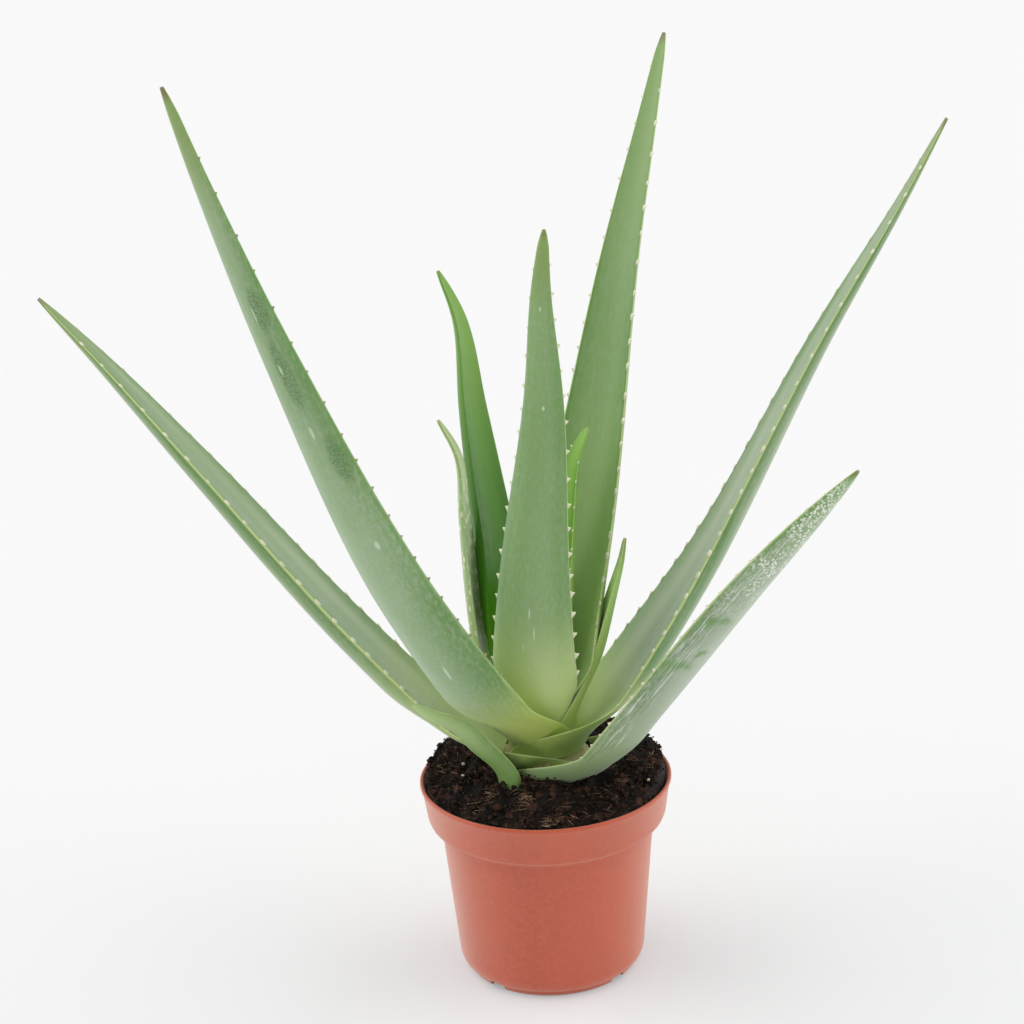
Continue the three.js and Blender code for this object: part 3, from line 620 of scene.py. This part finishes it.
class LeafShape:
    """Where every point of a leaf lies, from the leaf's driving dimensions, in millimetres."""

    def __init__(self, leaf):
        self.leaf = leaf
        angle = math.radians(leaf["azimuth"])
        out = np.array([math.cos(angle), math.sin(angle), 0])
        self.side = np.array([-math.sin(angle), math.cos(angle), 0])
        centre = np.array([*leaf.get("centre", (0, 0)), 0])
        foot, top = leaf["shoulder"][1], leaf["tip"][1]
        (low, high), end = leaf["reach"], leaf["tip"][0]
        sway = leaf["sway"]
        late = (NECK - HIGH) / (1 - HIGH)
        stops = [
            (leaf["base"][0], 0, leaf["base"][1]),
            (leaf["shoulder"][0], 0, foot),
            (low, sway[0], mix(foot, top, LOW)),
            (high, sway[1], mix(foot, top, HIGH)),
            (mix(high, end, late) + leaf["bend"][0], mix(sway[1], sway[2], late) + leaf["bend"][1],
             mix(foot, top, NECK)),
            (end, sway[2], top),
        ]
        line = [centre + out * far + self.side * aside + np.array([0, 0, height])
                for far, aside, height in stops]
        self.points, self.distances = smooth_line(line)
        self.length = self.distances[-1]

    def spine(self, v):
        """The middle line and its direction at parts v of the leaf's length."""
        at = np.asarray(v) * self.length
        near = 0.002 * self.length
        place = self._on_line(at)
        ahead = self._on_line(np.minimum(at + near, self.length))
        behind = self._on_line(np.maximum(at - near, 0))
        direction = ahead - behind
        return place, direction / np.linalg.norm(direction, axis=-1, keepdims=True)

    def _on_line(self, at):
        return np.stack([np.interp(at, self.distances, self.points[:, k]) for k in range(3)], -1)

    def frame(self, v):
        """Everything that shapes the cross-sections at parts v of the length."""
        leaf = self.leaf
        v = np.atleast_1d(np.asarray(v, float))
        place, along = self.spine(v)
        sheath = leaf["sheath"] / self.length
        upright = (1 - smooth(0, UPRIGHT * sheath, v))[:, None]
        along = along * (1 - upright) + np.array([0, 0, 1]) * upright
        along /= np.linalg.norm(along, axis=1, keepdims=True)
        out = np.cross(self.side, along)
        out /= np.linalg.norm(out, axis=1, keepdims=True)
        side = np.cross(along, out)
        turn = (math.radians(leaf["twist"]) * smooth(*TWISTING, v))[:, None]
        out, side = (out * np.cos(turn) + side * np.sin(turn), side * np.cos(turn) - out * np.sin(turn))

        tapered = 1 - v ** leaf["taper"]
        width = leaf["width"] * tapered + TIP_WIDTH * np.minimum(1, (1 - v) / TIP_PART) ** 0.5
        cup = math.radians(leaf["cup"]) * (1 - smooth(CUP_FROM, CUPPED, v))
        channel = math.radians(leaf["fold"]) * (1 - OPENING * v) + cup
        clasp = 1 - smooth(0, sheath, v)
        half_arc = mix(width / 2, leaf["base"][0] * math.radians(leaf["wrap"]), clasp)
        bend = mix(2 * channel / width, 1 / leaf["base"][0], clasp)
        swell = smooth(SWELLING[0] * sheath, SWELLING[1] * sheath, v)
        return dict(
            place=place, along=along, out=out, side=side, radius=1 / bend, half_angle=half_arc * bend,
            half_arc=half_arc, edge=MARGIN_THICK * (1 - MARGIN_THINNING * v),
            middle=leaf["thick"] * swell * tapered + SHEATH_THICK,
        )

    def surface(self, v, across, upper):
        """Points at parts v along and across (-1 to 1), on the upper face or on the back."""
        f = self.frame(v)
        rounding = f["edge"] / 2 * np.sqrt(np.clip(1 - np.abs(across) ** MARGIN_ROUNDING, 0, 1))
        swell = (f["middle"] - f["edge"]) * (1 - across ** 2) ** BACK_ROUNDING
        depth = f["edge"] / 2 + np.where(upper, -rounding, rounding + swell)
        angle = f["half_angle"] * across
        radius = f["radius"] + depth
        outward = (radius * np.cos(angle) - f["radius"])[:, None]
        sideways = (radius * np.sin(angle))[:, None]
        return f["place"] + f["out"] * outward + f["side"] * sideways

    def margin(self, v, hand):
        """A margin's place, and the directions out of it and along the leaf."""
        f = {key: value[0] for key, value in self.frame(v).items()}
        angle = f["half_angle"] * hand
        face = f["out"] * math.cos(angle) + f["side"] * math.sin(angle)
        outward = np.cross(face, f["along"]) * -hand
        place = self.surface(np.array([v]), np.array([float(hand)]), np.array([True]))[0]
        return place, outward, f["along"]


def roll_up(t):
    """Where a column of the flat grid lies round a leaf: across, and whether on the upper face."""
    turn = t * 2 * math.pi
    return -np.cos(turn), t >= 0.5


def add_blade(leaf, shape):
    """A grid rolled into a closed, tapering tube with the leaf's cross-sections."""
    deselect()
    bpy.ops.mesh.primitive_grid_add(x_subdivisions=AROUND, y_subdivisions=ALONG, size=2)
    blade = bpy.context.object
    flat = points_of(blade)
    round_part = (flat[:, 0] + 1) / 2
    v = ((flat[:, 1] + 1) / 2) ** CROWDING * LAST_FACE
    across, upper = roll_up(round_part)
    put_points(blade, shape.surface(v, across, upper) * MM)
    name_places(blade, shape, v, across, upper)
    close_up(blade)
    return blade


def name_places(blade, shape, v, across, upper):
    """Writes the attributes that the leaf's material reads."""
    place = blade.data.attributes.new("place", "FLOAT_VECTOR", "POINT")
    place.data.foreach_set("vector", np.stack([across, v, upper * 1.0], -1).ravel())
    width = shape.frame(v)["half_arc"] * across * MM
    skin = blade.data.attributes.new("skin", "FLOAT_VECTOR", "POINT")
    skin.data.foreach_set("vector", np.stack([width, v * shape.length * MM, upper * FACE_GAP], -1).ravel())


def model_tooth(material):
    """One horny tooth: an oval drawn up to a point that leans along the leaf. Its root is at the
    origin, +Z points out of the margin and +Y along the leaf."""
    deselect()
    bpy.ops.mesh.primitive_circle_add(vertices=8, radius=1, fill_type="NGON",
                                      location=(0, 0, -TOOTH_SUNK * MM))
    tooth = bpy.context.object
    edit(tooth)
    bpy.ops.mesh.select_all(action="SELECT")
    bpy.ops.transform.resize(value=(TOOTH_WIDTH / 2 * MM, TOOTH_LENGTH / 2 * MM, 1))
    rise = (TOOTH_HEIGHT + TOOTH_SUNK) * MM
    for part, narrow in TOOTH_TIERS:
        bpy.ops.mesh.extrude_region_move(TRANSFORM_OT_translate={
            "value": (0, TOOTH_LEAN * part * rise, part * rise)})
        bpy.ops.transform.resize(value=(narrow, narrow, 1))
    leaning, climbing = TOOTH_POINT
    bpy.ops.mesh.extrude_region_move(TRANSFORM_OT_translate={
        "value": (0, TOOTH_LEAN * leaning * rise, climbing * rise)})
    bpy.ops.mesh.merge(type="CENTER")
    bpy.ops.mesh.select_all(action="SELECT")
    bpy.ops.mesh.normals_make_consistent(inside=False)
    leave_edit()
    settle(tooth)
    tooth.data.materials.append(material)
    shade(tooth)
    return tooth


def add_teeth(leaf, shape, tooth, rng):
    """Copies of the tooth along both margins, small by the stem and again towards the tip."""
    scale = leaf.get("tooth_scale", 1) * min(1, FINEST + shape.length / SIZE_GAIN)
    if scale == 0:
        return []
    spacing = leaf.get("tooth_gap", TOOTH_SPACING * mix(CLOSEST, 1, min(1, shape.length / LONG_LEAF)))
    teeth = []
    for hand in (-1, 1):
        at = FIRST_TOOTH * min(1, shape.length / SHORT_LEAF) + (spacing * HALF_STEP if hand > 0 else 0)
        while at < shape.length * LAST_TOOTH:
            v = at / shape.length
            place, outward, along = shape.margin(v, hand)
            grown = mix(LEAST_TOOTH, 1, smooth(TOOTHLESS, leaf.get("toothed_from", 3 * TOOTHLESS), at))
            size = scale * grown * mix(1, 0.5, v) * rng.uniform(0.8, 1.15)
            turn = Matrix((np.cross(along, outward), along, outward)).transposed().to_4x4()
            move = Matrix.Translation(Vector(place) * MM)
            teeth.append(copy_at(tooth, move @ turn @ Matrix.Scale(size, 4)))
            at += spacing * mix(0.8, 1.3, v) * rng.uniform(0.85, 1.15)
    return teeth


def add_leaf(leaf, tooth, skin, rng):
    shape = LeafShape(leaf)
    blade = add_blade(leaf, shape)
    blade.data.materials.append(skin)
    shade(blade)
    teeth = add_teeth(leaf, shape, tooth, rng)
    return join([blade, *teeth], leaf["name"] + "_dressed")


# ---------------------------------------------------------------- pot

def pot_profile():
    """Radius and height, in metres, up the outside of the pot and down its inside."""
    _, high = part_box("pot")
    rim, height = high.x / MM, high.z / MM
    shoulder = height - COLLAR_HEIGHT
    under = [
        (0, 0), (PAD_RADIUS, 0), (PAD_RADIUS + 1, FOOT_HEIGHT), (FOOT_INSIDE - 0.4, FOOT_HEIGHT),
        (FOOT_INSIDE, 0), (FOOT_RADIUS - 0.4, 0),
    ]
    bottom_edge = [
        (FOOT_RADIUS, 0.4), (FOOT_RADIUS + 0.7, 2.4), (FOOT_RADIUS + 2.1, FOOT_HEIGHT),
        (BASE_RADIUS - 1.1, 4.6), (BASE_RADIUS - 0.4, 6.6), (BASE_RADIUS, 8.4),
    ]
    collar = [
        (SHOULDER_RADIUS, shoulder - 4.2), (SHOULDER_RADIUS + 0.4, shoulder - 3.0),
        (SHOULDER_RADIUS + 1.5, shoulder - 1.6), (COLLAR_FOOT - 2.5, shoulder - 0.6),
        (COLLAR_FOOT - 0.8, shoulder + 0.6), (COLLAR_FOOT, shoulder + 2.6),
    ]
    brim = [
        (rim - 0.85, height - 3.0), (rim - 0.35, height - 2.4), (rim, height - 1.5),
        (rim, height - 0.7), (rim - 0.35, height - 0.12), (rim - 0.8, height),
    ]
    inside = [
        (rim - 1.4, height - 0.2), (rim - 1.75, height - 0.9), (rim - 2.6, height - 4),
        (COLLAR_FOOT - 2.9, shoulder + 2), (SHOULDER_RADIUS - 2.1, shoulder - 1.5),
        (BASE_RADIUS - 2.5, 9), (BASE_RADIUS - 5.3, FLOOR_TOP + 0.2), (0, FLOOR_TOP),
    ]
    return [(r * MM, z * MM) for r, z in under + bottom_edge + collar + brim + inside]


def add_pot():
    """The pot's profile spun round its axis, with drain notches and holes cut through it."""
    deselect()
    bpy.ops.mesh.primitive_plane_add(size=MM)
    pot = bpy.context.object
    profile = pot_profile()
    edit(pot)
    bpy.ops.mesh.select_all(action="SELECT")
    bpy.ops.mesh.merge(type="CENTER")
    for (r0, z0), (r1, z1) in zip([(0, 0), *profile[:-1]], profile):
        bpy.ops.mesh.extrude_region_move(TRANSFORM_OT_translate={"value": (r1 - r0, 0, z1 - z0)})
    bpy.ops.mesh.select_all(action="SELECT")
    bpy.ops.mesh.remove_doubles(threshold=SAME_PLACE)
    bpy.ops.mesh.spin(steps=POT_SIDES, angle=2 * math.pi, center=(0, 0, 0), axis=(0, 0, 1))
    bpy.ops.mesh.select_all(action="SELECT")
    bpy.ops.mesh.remove_doubles(threshold=SPIN_SEAM)
    bpy.ops.mesh.normals_make_consistent(inside=False)
    leave_edit()
    for number in range(NOTCH_COUNT):
        angle = math.radians(FIRST_NOTCH + 360 / NOTCH_COUNT * number)
        hole = angle + math.radians(HOLE_OFFSET)
        cut_round(pot, NOTCH_RADIUS, NOTCH_LENGTH, round_axis(NOTCH_AT, angle, -NOTCH_DROP),
                  (0, math.pi / 2, angle))
        cut_round(pot, HOLE_RADIUS, HOLE_LENGTH, round_axis(HOLE_AT, hole, HOLE_HEIGHT), (0, 0, 0))
    shade(pot, 32)
    pot.name = "nursery_pot"
    return pot


def round_axis(far, angle, height):
    """A place in metres, from millimetres out from the pot's axis and up."""
    return far * MM * math.cos(angle), far * MM * math.sin(angle), height * MM


def cut_round(piece, radius, length, place, turn):
    """Cuts a round rod of air, its size in millimetres, out of a piece."""
    deselect()
    bpy.ops.mesh.primitive_cylinder_add(vertices=32, radius=radius * MM, depth=length * MM,
                                        location=place, rotation=turn)
    cutter = bpy.context.object
    select_only(piece)
    cut = piece.modifiers.new("notch", "BOOLEAN")
    cut.operation = "DIFFERENCE"
    cut.solver = "EXACT"
    cut.object = cutter
    apply_modifiers(piece)
    remove(cutter)


# ---------------------------------------------------------------- soil

SOIL_EDGE = 57.6
SOIL_CROWN = 109
SOIL_FRONT = 95.5               # heights of the heap's edge at the front and at the back
SOIL_BACK = 103.5
SOIL_DIP = 7                    # how much lower the soil lies among the leaf bases
BARE_CROWN = (18, 29)           # radii between which the soil rises from that dip
SOIL_LUMP = 1.2
SOIL_GRID = 180                 # faces across the heap
SOIL_GRAIN = ((7, 3.2), (2.4, 2))  # size and depth of the surface's coarse and fine roughness
SOIL_SIDES = ((22, 0.85), (60, 0.88), (5, 0.94))  # each drop, and how much it narrows the soil
FLATTENING = 0.12               # what each drop leaves of the rough edge's ups and downs
SURFACE_LIFT = 1.6              # how far the roughness stands above the heap's formula
FULL_TURN = 6.28
TILT = 0.6
FINE_CRUMBS = 3200
COARSE_CRUMBS = 420
FIBRES = 420
GRAINS = 5
FIBRE_LENGTH = 6
FIBRE_THICK = 0.16
CROWN_CLEAR = 15                # radius of the crown, where no crumbs lie
LEAVES_CLEAR = 24               # radius of the leaf bases, where no fibres or grit lie
CLUMP_SPREAD = 2.4
# Middles of the clumps of pale fibres, and of the pale grit.
PALE_CLUMPS = [(-7.8, -30.4), (-12, -40.5), (-27, -36.5), (1, -50.9)]
GRIT = [(-39.7, -5), (-40.5, -16.5)]


def soil_height(x, y):
    """The heaped surface, in millimetres, at places in millimetres."""
    radius = np.hypot(x, y)
    part = 1 - radius / SOIL_EDGE
    to_back = smooth(-0.95, 0.25, (y + 0.4 * x) / np.maximum(radius, 1))
    edge = mix(SOIL_FRONT, SOIL_BACK, to_back)
    heap = mix(edge, SOIL_CROWN, smooth(0.02, 0.52, part))
    brink = (edge - SOIL_FRONT) * (1 - smooth(0, 0.025, part))
    lumps = SOIL_LUMP * (np.sin(0.21 * x + 0.9) * np.cos(0.17 * y - 0.4)
                         + 0.6 * np.sin(0.47 * x - 0.31 * y + 2) + 0.5 * np.cos(0.39 * y + 0.28 * x))
    dip = SOIL_DIP * (1 - smooth(*BARE_CROWN, radius))
    return heap - brink - dip + lumps * smooth(16, 30, radius) * smooth(0, 0.08, part)


def add_soil():
    """A round grid heaped in the middle, roughened, and drawn down to fill the pot."""
    deselect()
    bpy.ops.mesh.primitive_grid_add(x_subdivisions=SOIL_GRID, y_subdivisions=SOIL_GRID, size=2)
    soil = bpy.context.object
    flat = points_of(soil)
    x = flat[:, 0] * np.sqrt(1 - flat[:, 1] ** 2 / 2) * SOIL_EDGE
    y = flat[:, 1] * np.sqrt(1 - flat[:, 0] ** 2 / 2) * SOIL_EDGE
    put_points(soil, np.stack([x, y, soil_height(x, y)], -1) * MM)
    for size, depth in SOIL_GRAIN:
        texture = bpy.data.textures.new("peat_lumps", "CLOUDS")
        texture.noise_scale = size * MM
        rough = soil.modifiers.new("lumps", "DISPLACE")
        rough.texture = texture
        rough.texture_coords = "GLOBAL"
        rough.direction = "Z"
        rough.strength = depth * MM
    apply_modifiers(soil)
    edit(soil, "EDGE")
    bpy.ops.mesh.select_all(action="DESELECT")
    bpy.ops.mesh.select_non_manifold()
    for drop, narrow in SOIL_SIDES:
        bpy.ops.mesh.extrude_region_move(TRANSFORM_OT_translate={"value": (0, 0, -drop * MM)})
        bpy.ops.transform.resize(value=(narrow, narrow, FLATTENING))
    bpy.ops.mesh.edge_face_add()
    bpy.ops.mesh.select_all(action="SELECT")
    bpy.ops.mesh.normals_make_consistent(inside=False)
    leave_edit()
    shade(soil)
    soil.name = "peat_fill"
    return soil


def model_crumb(rng, rounds, radius=1.0 * MM):
    """One small lump of peat: 20 faces for one round, 80 for two."""
    deselect()
    bpy.ops.mesh.primitive_ico_sphere_add(subdivisions=rounds, radius=radius)
    crumb = bpy.context.object
    places = points_of(crumb)
    places *= np.array([[rng.uniform(0.7, 1.25)] for _ in places])
    put_points(crumb, places * np.array([1, rng.uniform(0.6, 0.9), rng.uniform(0.45, 0.8)]))
    return crumb


def scatter(models, count, reach, rng, name, sizes, lift=0.0, keep_clear=CROWN_CLEAR, clumps=()):
    """Copies of the models strewn evenly over the heap, beyond the radius kept clear. With clumps,
    every third one lies round one of those places instead."""
    strewn = []
    while len(strewn) < count:
        angle = rng.uniform(0, 2 * math.pi)
        far = reach * math.sqrt(rng.uniform(0.05, 1))
        x, y = far * math.cos(angle), far * math.sin(angle)
        if clumps and len(strewn) % 3 == 0:
            x, y = (middle + rng.gauss(0, CLUMP_SPREAD) for middle in rng.choice(clumps))
        if not keep_clear < math.hypot(x, y) < reach:
            continue
        z = float(soil_height(np.array([x]), np.array([y]))[0]) + SURFACE_LIFT + lift
        spun = Matrix.Rotation(rng.uniform(0, FULL_TURN), 4, "Z")
        turn = spun @ Matrix.Rotation(rng.uniform(-TILT, TILT), 4, "X")
        move = Matrix.Translation((x * MM, y * MM, z * MM))
        strewn.append(copy_at(rng.choice(models), move @ turn @ Matrix.Scale(rng.uniform(*sizes), 4)))
    for model in models:
        remove(model)
    strewn = join(strewn, name)
    settle(strewn)
    return strewn


def model_fibre(rng, length, thickness):
    """A bent thread of peat: a thin rod, cut across and made crooked along its length."""
    deselect()
    bpy.ops.mesh.primitive_cylinder_add(vertices=5, radius=thickness / 2, depth=length,
                                        rotation=(0, math.pi / 2, 0))
    fibre = bpy.context.object
    settle(fibre)
    edit(fibre)
    bpy.ops.mesh.select_all(action="DESELECT")
    leave_edit()
    for edge in fibre.data.edges:
        a, b = [fibre.data.vertices[k].co.x for k in edge.vertices]
        edge.select = abs(a - b) > length / 2
    edit(fibre)
    bpy.ops.mesh.subdivide_edgering(number_cuts=7)
    leave_edit()
    places = points_of(fibre)
    t = places[:, 0] / length
    bow, kink = rng.uniform(-0.5, 0.5), rng.uniform(-0.2, 0.2)
    places[:, 1] += length * (bow * (t ** 2 - 0.25) + kink * np.sin(7 * t))
    places[:, 2] += length * rng.uniform(0.0, 0.25) * np.cos(3.1 * t) * 0.5
    put_points(fibre, places)
    return fibre


# ---------------------------------------------------------------- old leaf scrap

SCRAP_RADIUS = 21.75
SCRAP_THICK = 0.45
SCRAP_SPAN = (-121, -79)        # degrees
SCRAP_LEAN = 0.35


def add_scrap():
    """The papery rest of an old leaf base: a curved strip with a torn upper edge."""
    deselect()
    low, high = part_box("old_leaf_scrap")
    bpy.ops.mesh.primitive_grid_add(x_subdivisions=60, y_subdivisions=14, size=2)
    scrap = bpy.context.object
    flat = points_of(scrap)
    t, up = (flat[:, 0] + 1) / 2, (flat[:, 1] + 1) / 2
    angle = np.radians(mix(*SCRAP_SPAN, t))
    torn = 0.7 * np.sin(t * 37) + 0.5 * np.sin(t * 91 + 1) + 0.35 * np.sin(t * 170 + 2)
    top = mix(high.z / MM - 1.4, low.z / MM + 4, np.abs(2 * t - 1) ** 3) + torn * 0.8
    height = mix(low.z / MM + 0.3, top, up)
    out = SCRAP_RADIUS + SCRAP_LEAN * up + 0.2 * np.sin(t * 21) * up
    put_points(scrap, np.stack([out * np.cos(angle), out * np.sin(angle), height], -1) * MM)
    skin = scrap.modifiers.new("paper", "SOLIDIFY")
    skin.thickness = SCRAP_THICK * MM
    skin.offset = 0
    apply_modifiers(scrap)
    shade(scrap)
    scrap.name = "dry_scrap"
    return scrap


# ---------------------------------------------------------------- stage, lights and camera

FLOOR_SIZE = 60                 # metres, so that no edge shows from the side
FLOOR_DROP = 0.0003
SKY = 0.42                      # strength of the white light from all round
SUNS = (                        # name, direction, spread in degrees and strength
    ("top_light", (-0.15, -0.2, 1), 90, 0.75),
    ("left_light", (-1, 0.2, 0.7), 75, 1.3),
    ("right_light", (1, 0.1, 0.65), 75, 1.3),
)
LENS = 105
SENSOR = 36
CAMERA_UP = math.radians(20.45)
CAMERA_ROLL = math.radians(-2.59)
CAMERA_FAR = 1.378
LOOK_AT = Vector((-0.0103, 0, 0.2312))


def set_stage():
    deselect()
    bpy.ops.mesh.primitive_plane_add(size=1, location=(0, 0, -FLOOR_DROP))
    floor = bpy.context.object
    edit(floor)
    bpy.ops.mesh.select_all(action="SELECT")
    bpy.ops.transform.resize(value=(FLOOR_SIZE, FLOOR_SIZE, 1))
    leave_edit()
    settle(floor)
    floor.name = "floor"
    floor.data.materials.append(pale_floor())


def add_sun(name, toward, spread, strength):
    """A very soft, even light that comes from a direction."""
    light = bpy.data.lights.new(name, "SUN")
    light.angle = math.radians(spread)
    light.energy = strength
    lamp = bpy.data.objects.new(name, light)
    lamp.rotation_euler = Vector(toward).to_track_quat("Z", "Y").to_euler()
    bpy.context.scene.collection.objects.link(lamp)


def set_lights():
    world = bpy.data.worlds.new("studio")
    bpy.context.scene.world = world
    world.use_nodes = True
    sky = world.node_tree.nodes["Background"]
    sky.inputs["Color"].default_value = (1, 1, 1, 1)
    sky.inputs["Strength"].default_value = SKY
    for sun in SUNS:
        add_sun(*sun)
    bpy.context.scene.view_settings.view_transform = "Standard"


def set_camera():
    data = bpy.data.cameras.new("camera")
    data.lens = LENS
    data.sensor_width = SENSOR
    camera = bpy.data.objects.new("camera", data)
    back = Vector((0, -math.cos(CAMERA_UP), math.sin(CAMERA_UP)))
    camera.location = LOOK_AT + back * CAMERA_FAR
    up = Vector((0, math.sin(CAMERA_UP), math.cos(CAMERA_UP)))
    right = Vector((1, 0, 0))
    cos, sin = math.cos(CAMERA_ROLL), math.sin(CAMERA_ROLL)
    turned_right = right * cos + up * sin
    turned_up = up * cos - right * sin
    camera.rotation_euler = Matrix((turned_right, turned_up, back)).transposed().to_euler()
    bpy.context.scene.collection.objects.link(camera)
    bpy.context.scene.camera = camera


# ---------------------------------------------------------------- the whole plant

SKINS = {
    "leaf_low_right": dict(deep=(0.16, 0.26, 0.11, 1), pale=(0.42, 0.5, 0.37, 1), bloom=0.8,
                           silver=0.8, dry=0.45,
                           base=(0.24, 0.35, 0.14, 1), tip=(0.2, 0.36, 0.09, 1), tip_from=0.55,
                           gloss_streak_margin=-1, edge_line=0.6, seed=1.0,
                           wedges=((-0.6, 0.4, 0.5, 0.03), (-0.5, 0.535, 0.45, 0.03),
                                   (-0.25, 0.45, 0.2, 0.02))),
    "leaf_low_left": dict(deep=(0.14, 0.27, 0.07, 1), pale=(0.37, 0.47, 0.27, 1), shaded_margin=1,
                          base=(0.42, 0.56, 0.15, 1), seed=2.0),
    "leaf_upper_right": dict(deep=(0.11, 0.25, 0.055, 1), pale=(0.37, 0.46, 0.28, 1), shaded_margin=-1,
                             base=(0.48, 0.62, 0.15, 1), base_reach=0.06, seed=3.0),
    "leaf_upper_left": dict(pale=(0.31, 0.45, 0.24, 1), base=(0.52, 0.62, 0.13, 1), base_reach=0.07,
                            bloom=0.5, edge_line=0.3, seed=4.0,
                            marks=((0.25, 0.575, 0.06, 0.01), (0.2, 0.66, 0.05, 0.008),
                                   (0.15, 0.73, 0.04, 0.012), (0.45, 0.41, 0.06, 0.007),
                                   (0.3, 0.2, 0.03, 0.014)),
                            rubs=((0.62, 0.53, 0.28, 0.035), (0.4, 0.735, 0.35, 0.03),
                                  (0.3, 0.655, 0.25, 0.05))),
    "leaf_small_left": dict(deep=(0.38, 0.53, 0.22, 1), pale=(0.57, 0.68, 0.39, 1), flecks=0.9,
                            tip=(0.42, 0.52, 0.18, 1), tip_from=0.7, edge_line=0.3, dry=0.2, seed=5.0),
    # Colours much paler than the other leaves': partly its own fresh green, partly painted light lifting
    # the shade it stands in.
    "leaf_small_right": dict(deep=(0.36, 0.66, 0.15, 1), pale=(0.55, 0.82, 0.28, 1), sheen=0.1, dry=0.3,
                             seed=6.0),
    # The very pale base is the leaf's own blanched base, brightened further as painted light against the
    # shade at the crown.
    "leaf_front": dict(deep=(0.15, 0.3, 0.08, 1), pale=(0.26, 0.41, 0.16, 1), base=(0.8, 0.92, 0.42, 1),
                       base_reach=0.08, dry=0.5, seed=7.0,
                       marks=((0.05, 0.85, 0.08, 0.005), (0.1, 0.67, 0.06, 0.005),
                              (0.0, 0.16, 0.02, 0.012), (-0.1, 0.21, 0.02, 0.01),
                              (0.12, 0.24, 0.02, 0.014), (0.02, 0.28, 0.02, 0.012))),
    # The pale base reaching far up is partly painted light, lifting the shade on the leaf's lower part.
    "leaf_tall_back": dict(deep=(0.13, 0.28, 0.065, 1), pale=(0.23, 0.38, 0.135, 1), bloom=0.25, sheen=0.15,
                           base=(0.46, 0.65, 0.24, 1), base_reach=0.2, tip=(0.3, 0.44, 0.17, 1),
                           tip_from=0.45, seed=8.0),
    "leaf_back_left": dict(deep=(0.03, 0.14, 0.004, 1), pale=(0.08, 0.24, 0.015, 1), bloom=0.0, sheen=0.0,
                           base=(0.1, 0.3, 0.01, 1), tip=(0.27, 0.47, 0.1, 1), tip_from=0.4, gloss=0.2,
                           edge_line=0.0, dry=0.2, seed=9.0),
    "leaf_young": dict(deep=(0.17, 0.4, 0.04, 1), pale=(0.3, 0.56, 0.1, 1), bloom=0.08, sheen=0.05,
                       tip=(0.31, 0.55, 0.1, 1), edge_line=0.4, dry=0.2, seed=10.0),
    "pup_leaf": dict(deep=(0.15, 0.3, 0.055, 1), pale=(0.28, 0.43, 0.14, 1), bloom=0.25, sheen=0.15,
                     base=(0.17, 0.31, 0.07, 1), base_reach=0.04, tip=(0.45, 0.6, 0.25, 1), tip_from=0.3,
                     dry=0.4, seed=11.0),
}
YOUNG = ("leaf_young", "pup_leaf")


def dress_leaves(rng):
    pale = model_tooth(tooth_horn("tooth_horn"))
    olive = model_tooth(tooth_horn("olive_tooth_horn", (0.26, 0.3, 0.11, 1), (0.42, 0.46, 0.2, 1)))
    for leaf in LEAVES:
        name = leaf["name"]
        skin = leaf_skin(name + "_skin", **SKINS[name])
        piece = add_leaf(leaf, olive if name == "leaf_upper_left" else pale, skin, rng)
        hand_over(piece, "young_leaf" if name in YOUNG else "leaf", name)
    remove(pale)
    remove(olive)


def dress_soil(rng):
    soil = add_soil()
    soil.data.materials.append(moist_peat("moist_peat"))
    hand_over(soil, "peat", "soil")
    fine = [model_crumb(rng, 1) for _ in range(8)]
    fine = scatter(fine, FINE_CRUMBS, SOIL_EDGE - 0.4, rng, "fine_crumbs", (0.2, 0.95))
    coarse = [model_crumb(rng, 2) for _ in range(6)]
    coarse = scatter(coarse, COARSE_CRUMBS, SOIL_EDGE - 1, rng, "coarse_crumbs", (0.7, 1.8))
    crumbs = join([fine, coarse], "peat_crumbs")
    crumbs.data.materials.append(moist_peat("peat_crumb", (0.006, 0.003, 0.002, 1),
                                            (0.032, 0.014, 0.009, 1), 0.35))
    shade(crumbs, 40)
    hand_over(crumbs, "peat")
    fibres = [model_fibre(rng, FIBRE_LENGTH * MM, FIBRE_THICK * MM) for _ in range(8)]
    fibres = scatter(fibres, FIBRES, SOIL_EDGE - 3, rng, "peat_fibres", (0.35, 1.2), 0.5,
                     LEAVES_CLEAR, PALE_CLUMPS)
    fibres.data.materials.append(moist_peat("peat_fibre", (0.07, 0.035, 0.02, 1),
                                            (0.75, 0.52, 0.33, 1), 0.05))
    hand_over(fibres, "peat")
    grit = [model_crumb(rng, 2, 1.1 * MM)]
    grit = scatter(grit, GRAINS, SOIL_EDGE - 3, rng, "pale_grit", (0.5, 1.1), 0.6, LEAVES_CLEAR, GRIT)
    grit.data.materials.append(pale_grit())
    hand_over(grit, "peat")


def dress_pot():
    pot = add_pot()
    pot.data.materials.append(terracotta_plastic())
    hand_over(pot, "terracotta", "pot")


def dress_rest():
    scrap = add_scrap()
    scrap.data.materials.append(dry_paper())
    hand_over(scrap, "papery", "old_leaf_scrap")
    stem = nodes["stem_and_roots"]
    stem.data.materials.clear()
    stem.data.materials.append(pale_stock())


rng = random.Random(12)
set_camera()
dress_leaves(rng)
dress_soil(rng)
dress_pot()
dress_rest()
set_stage()
set_lights()
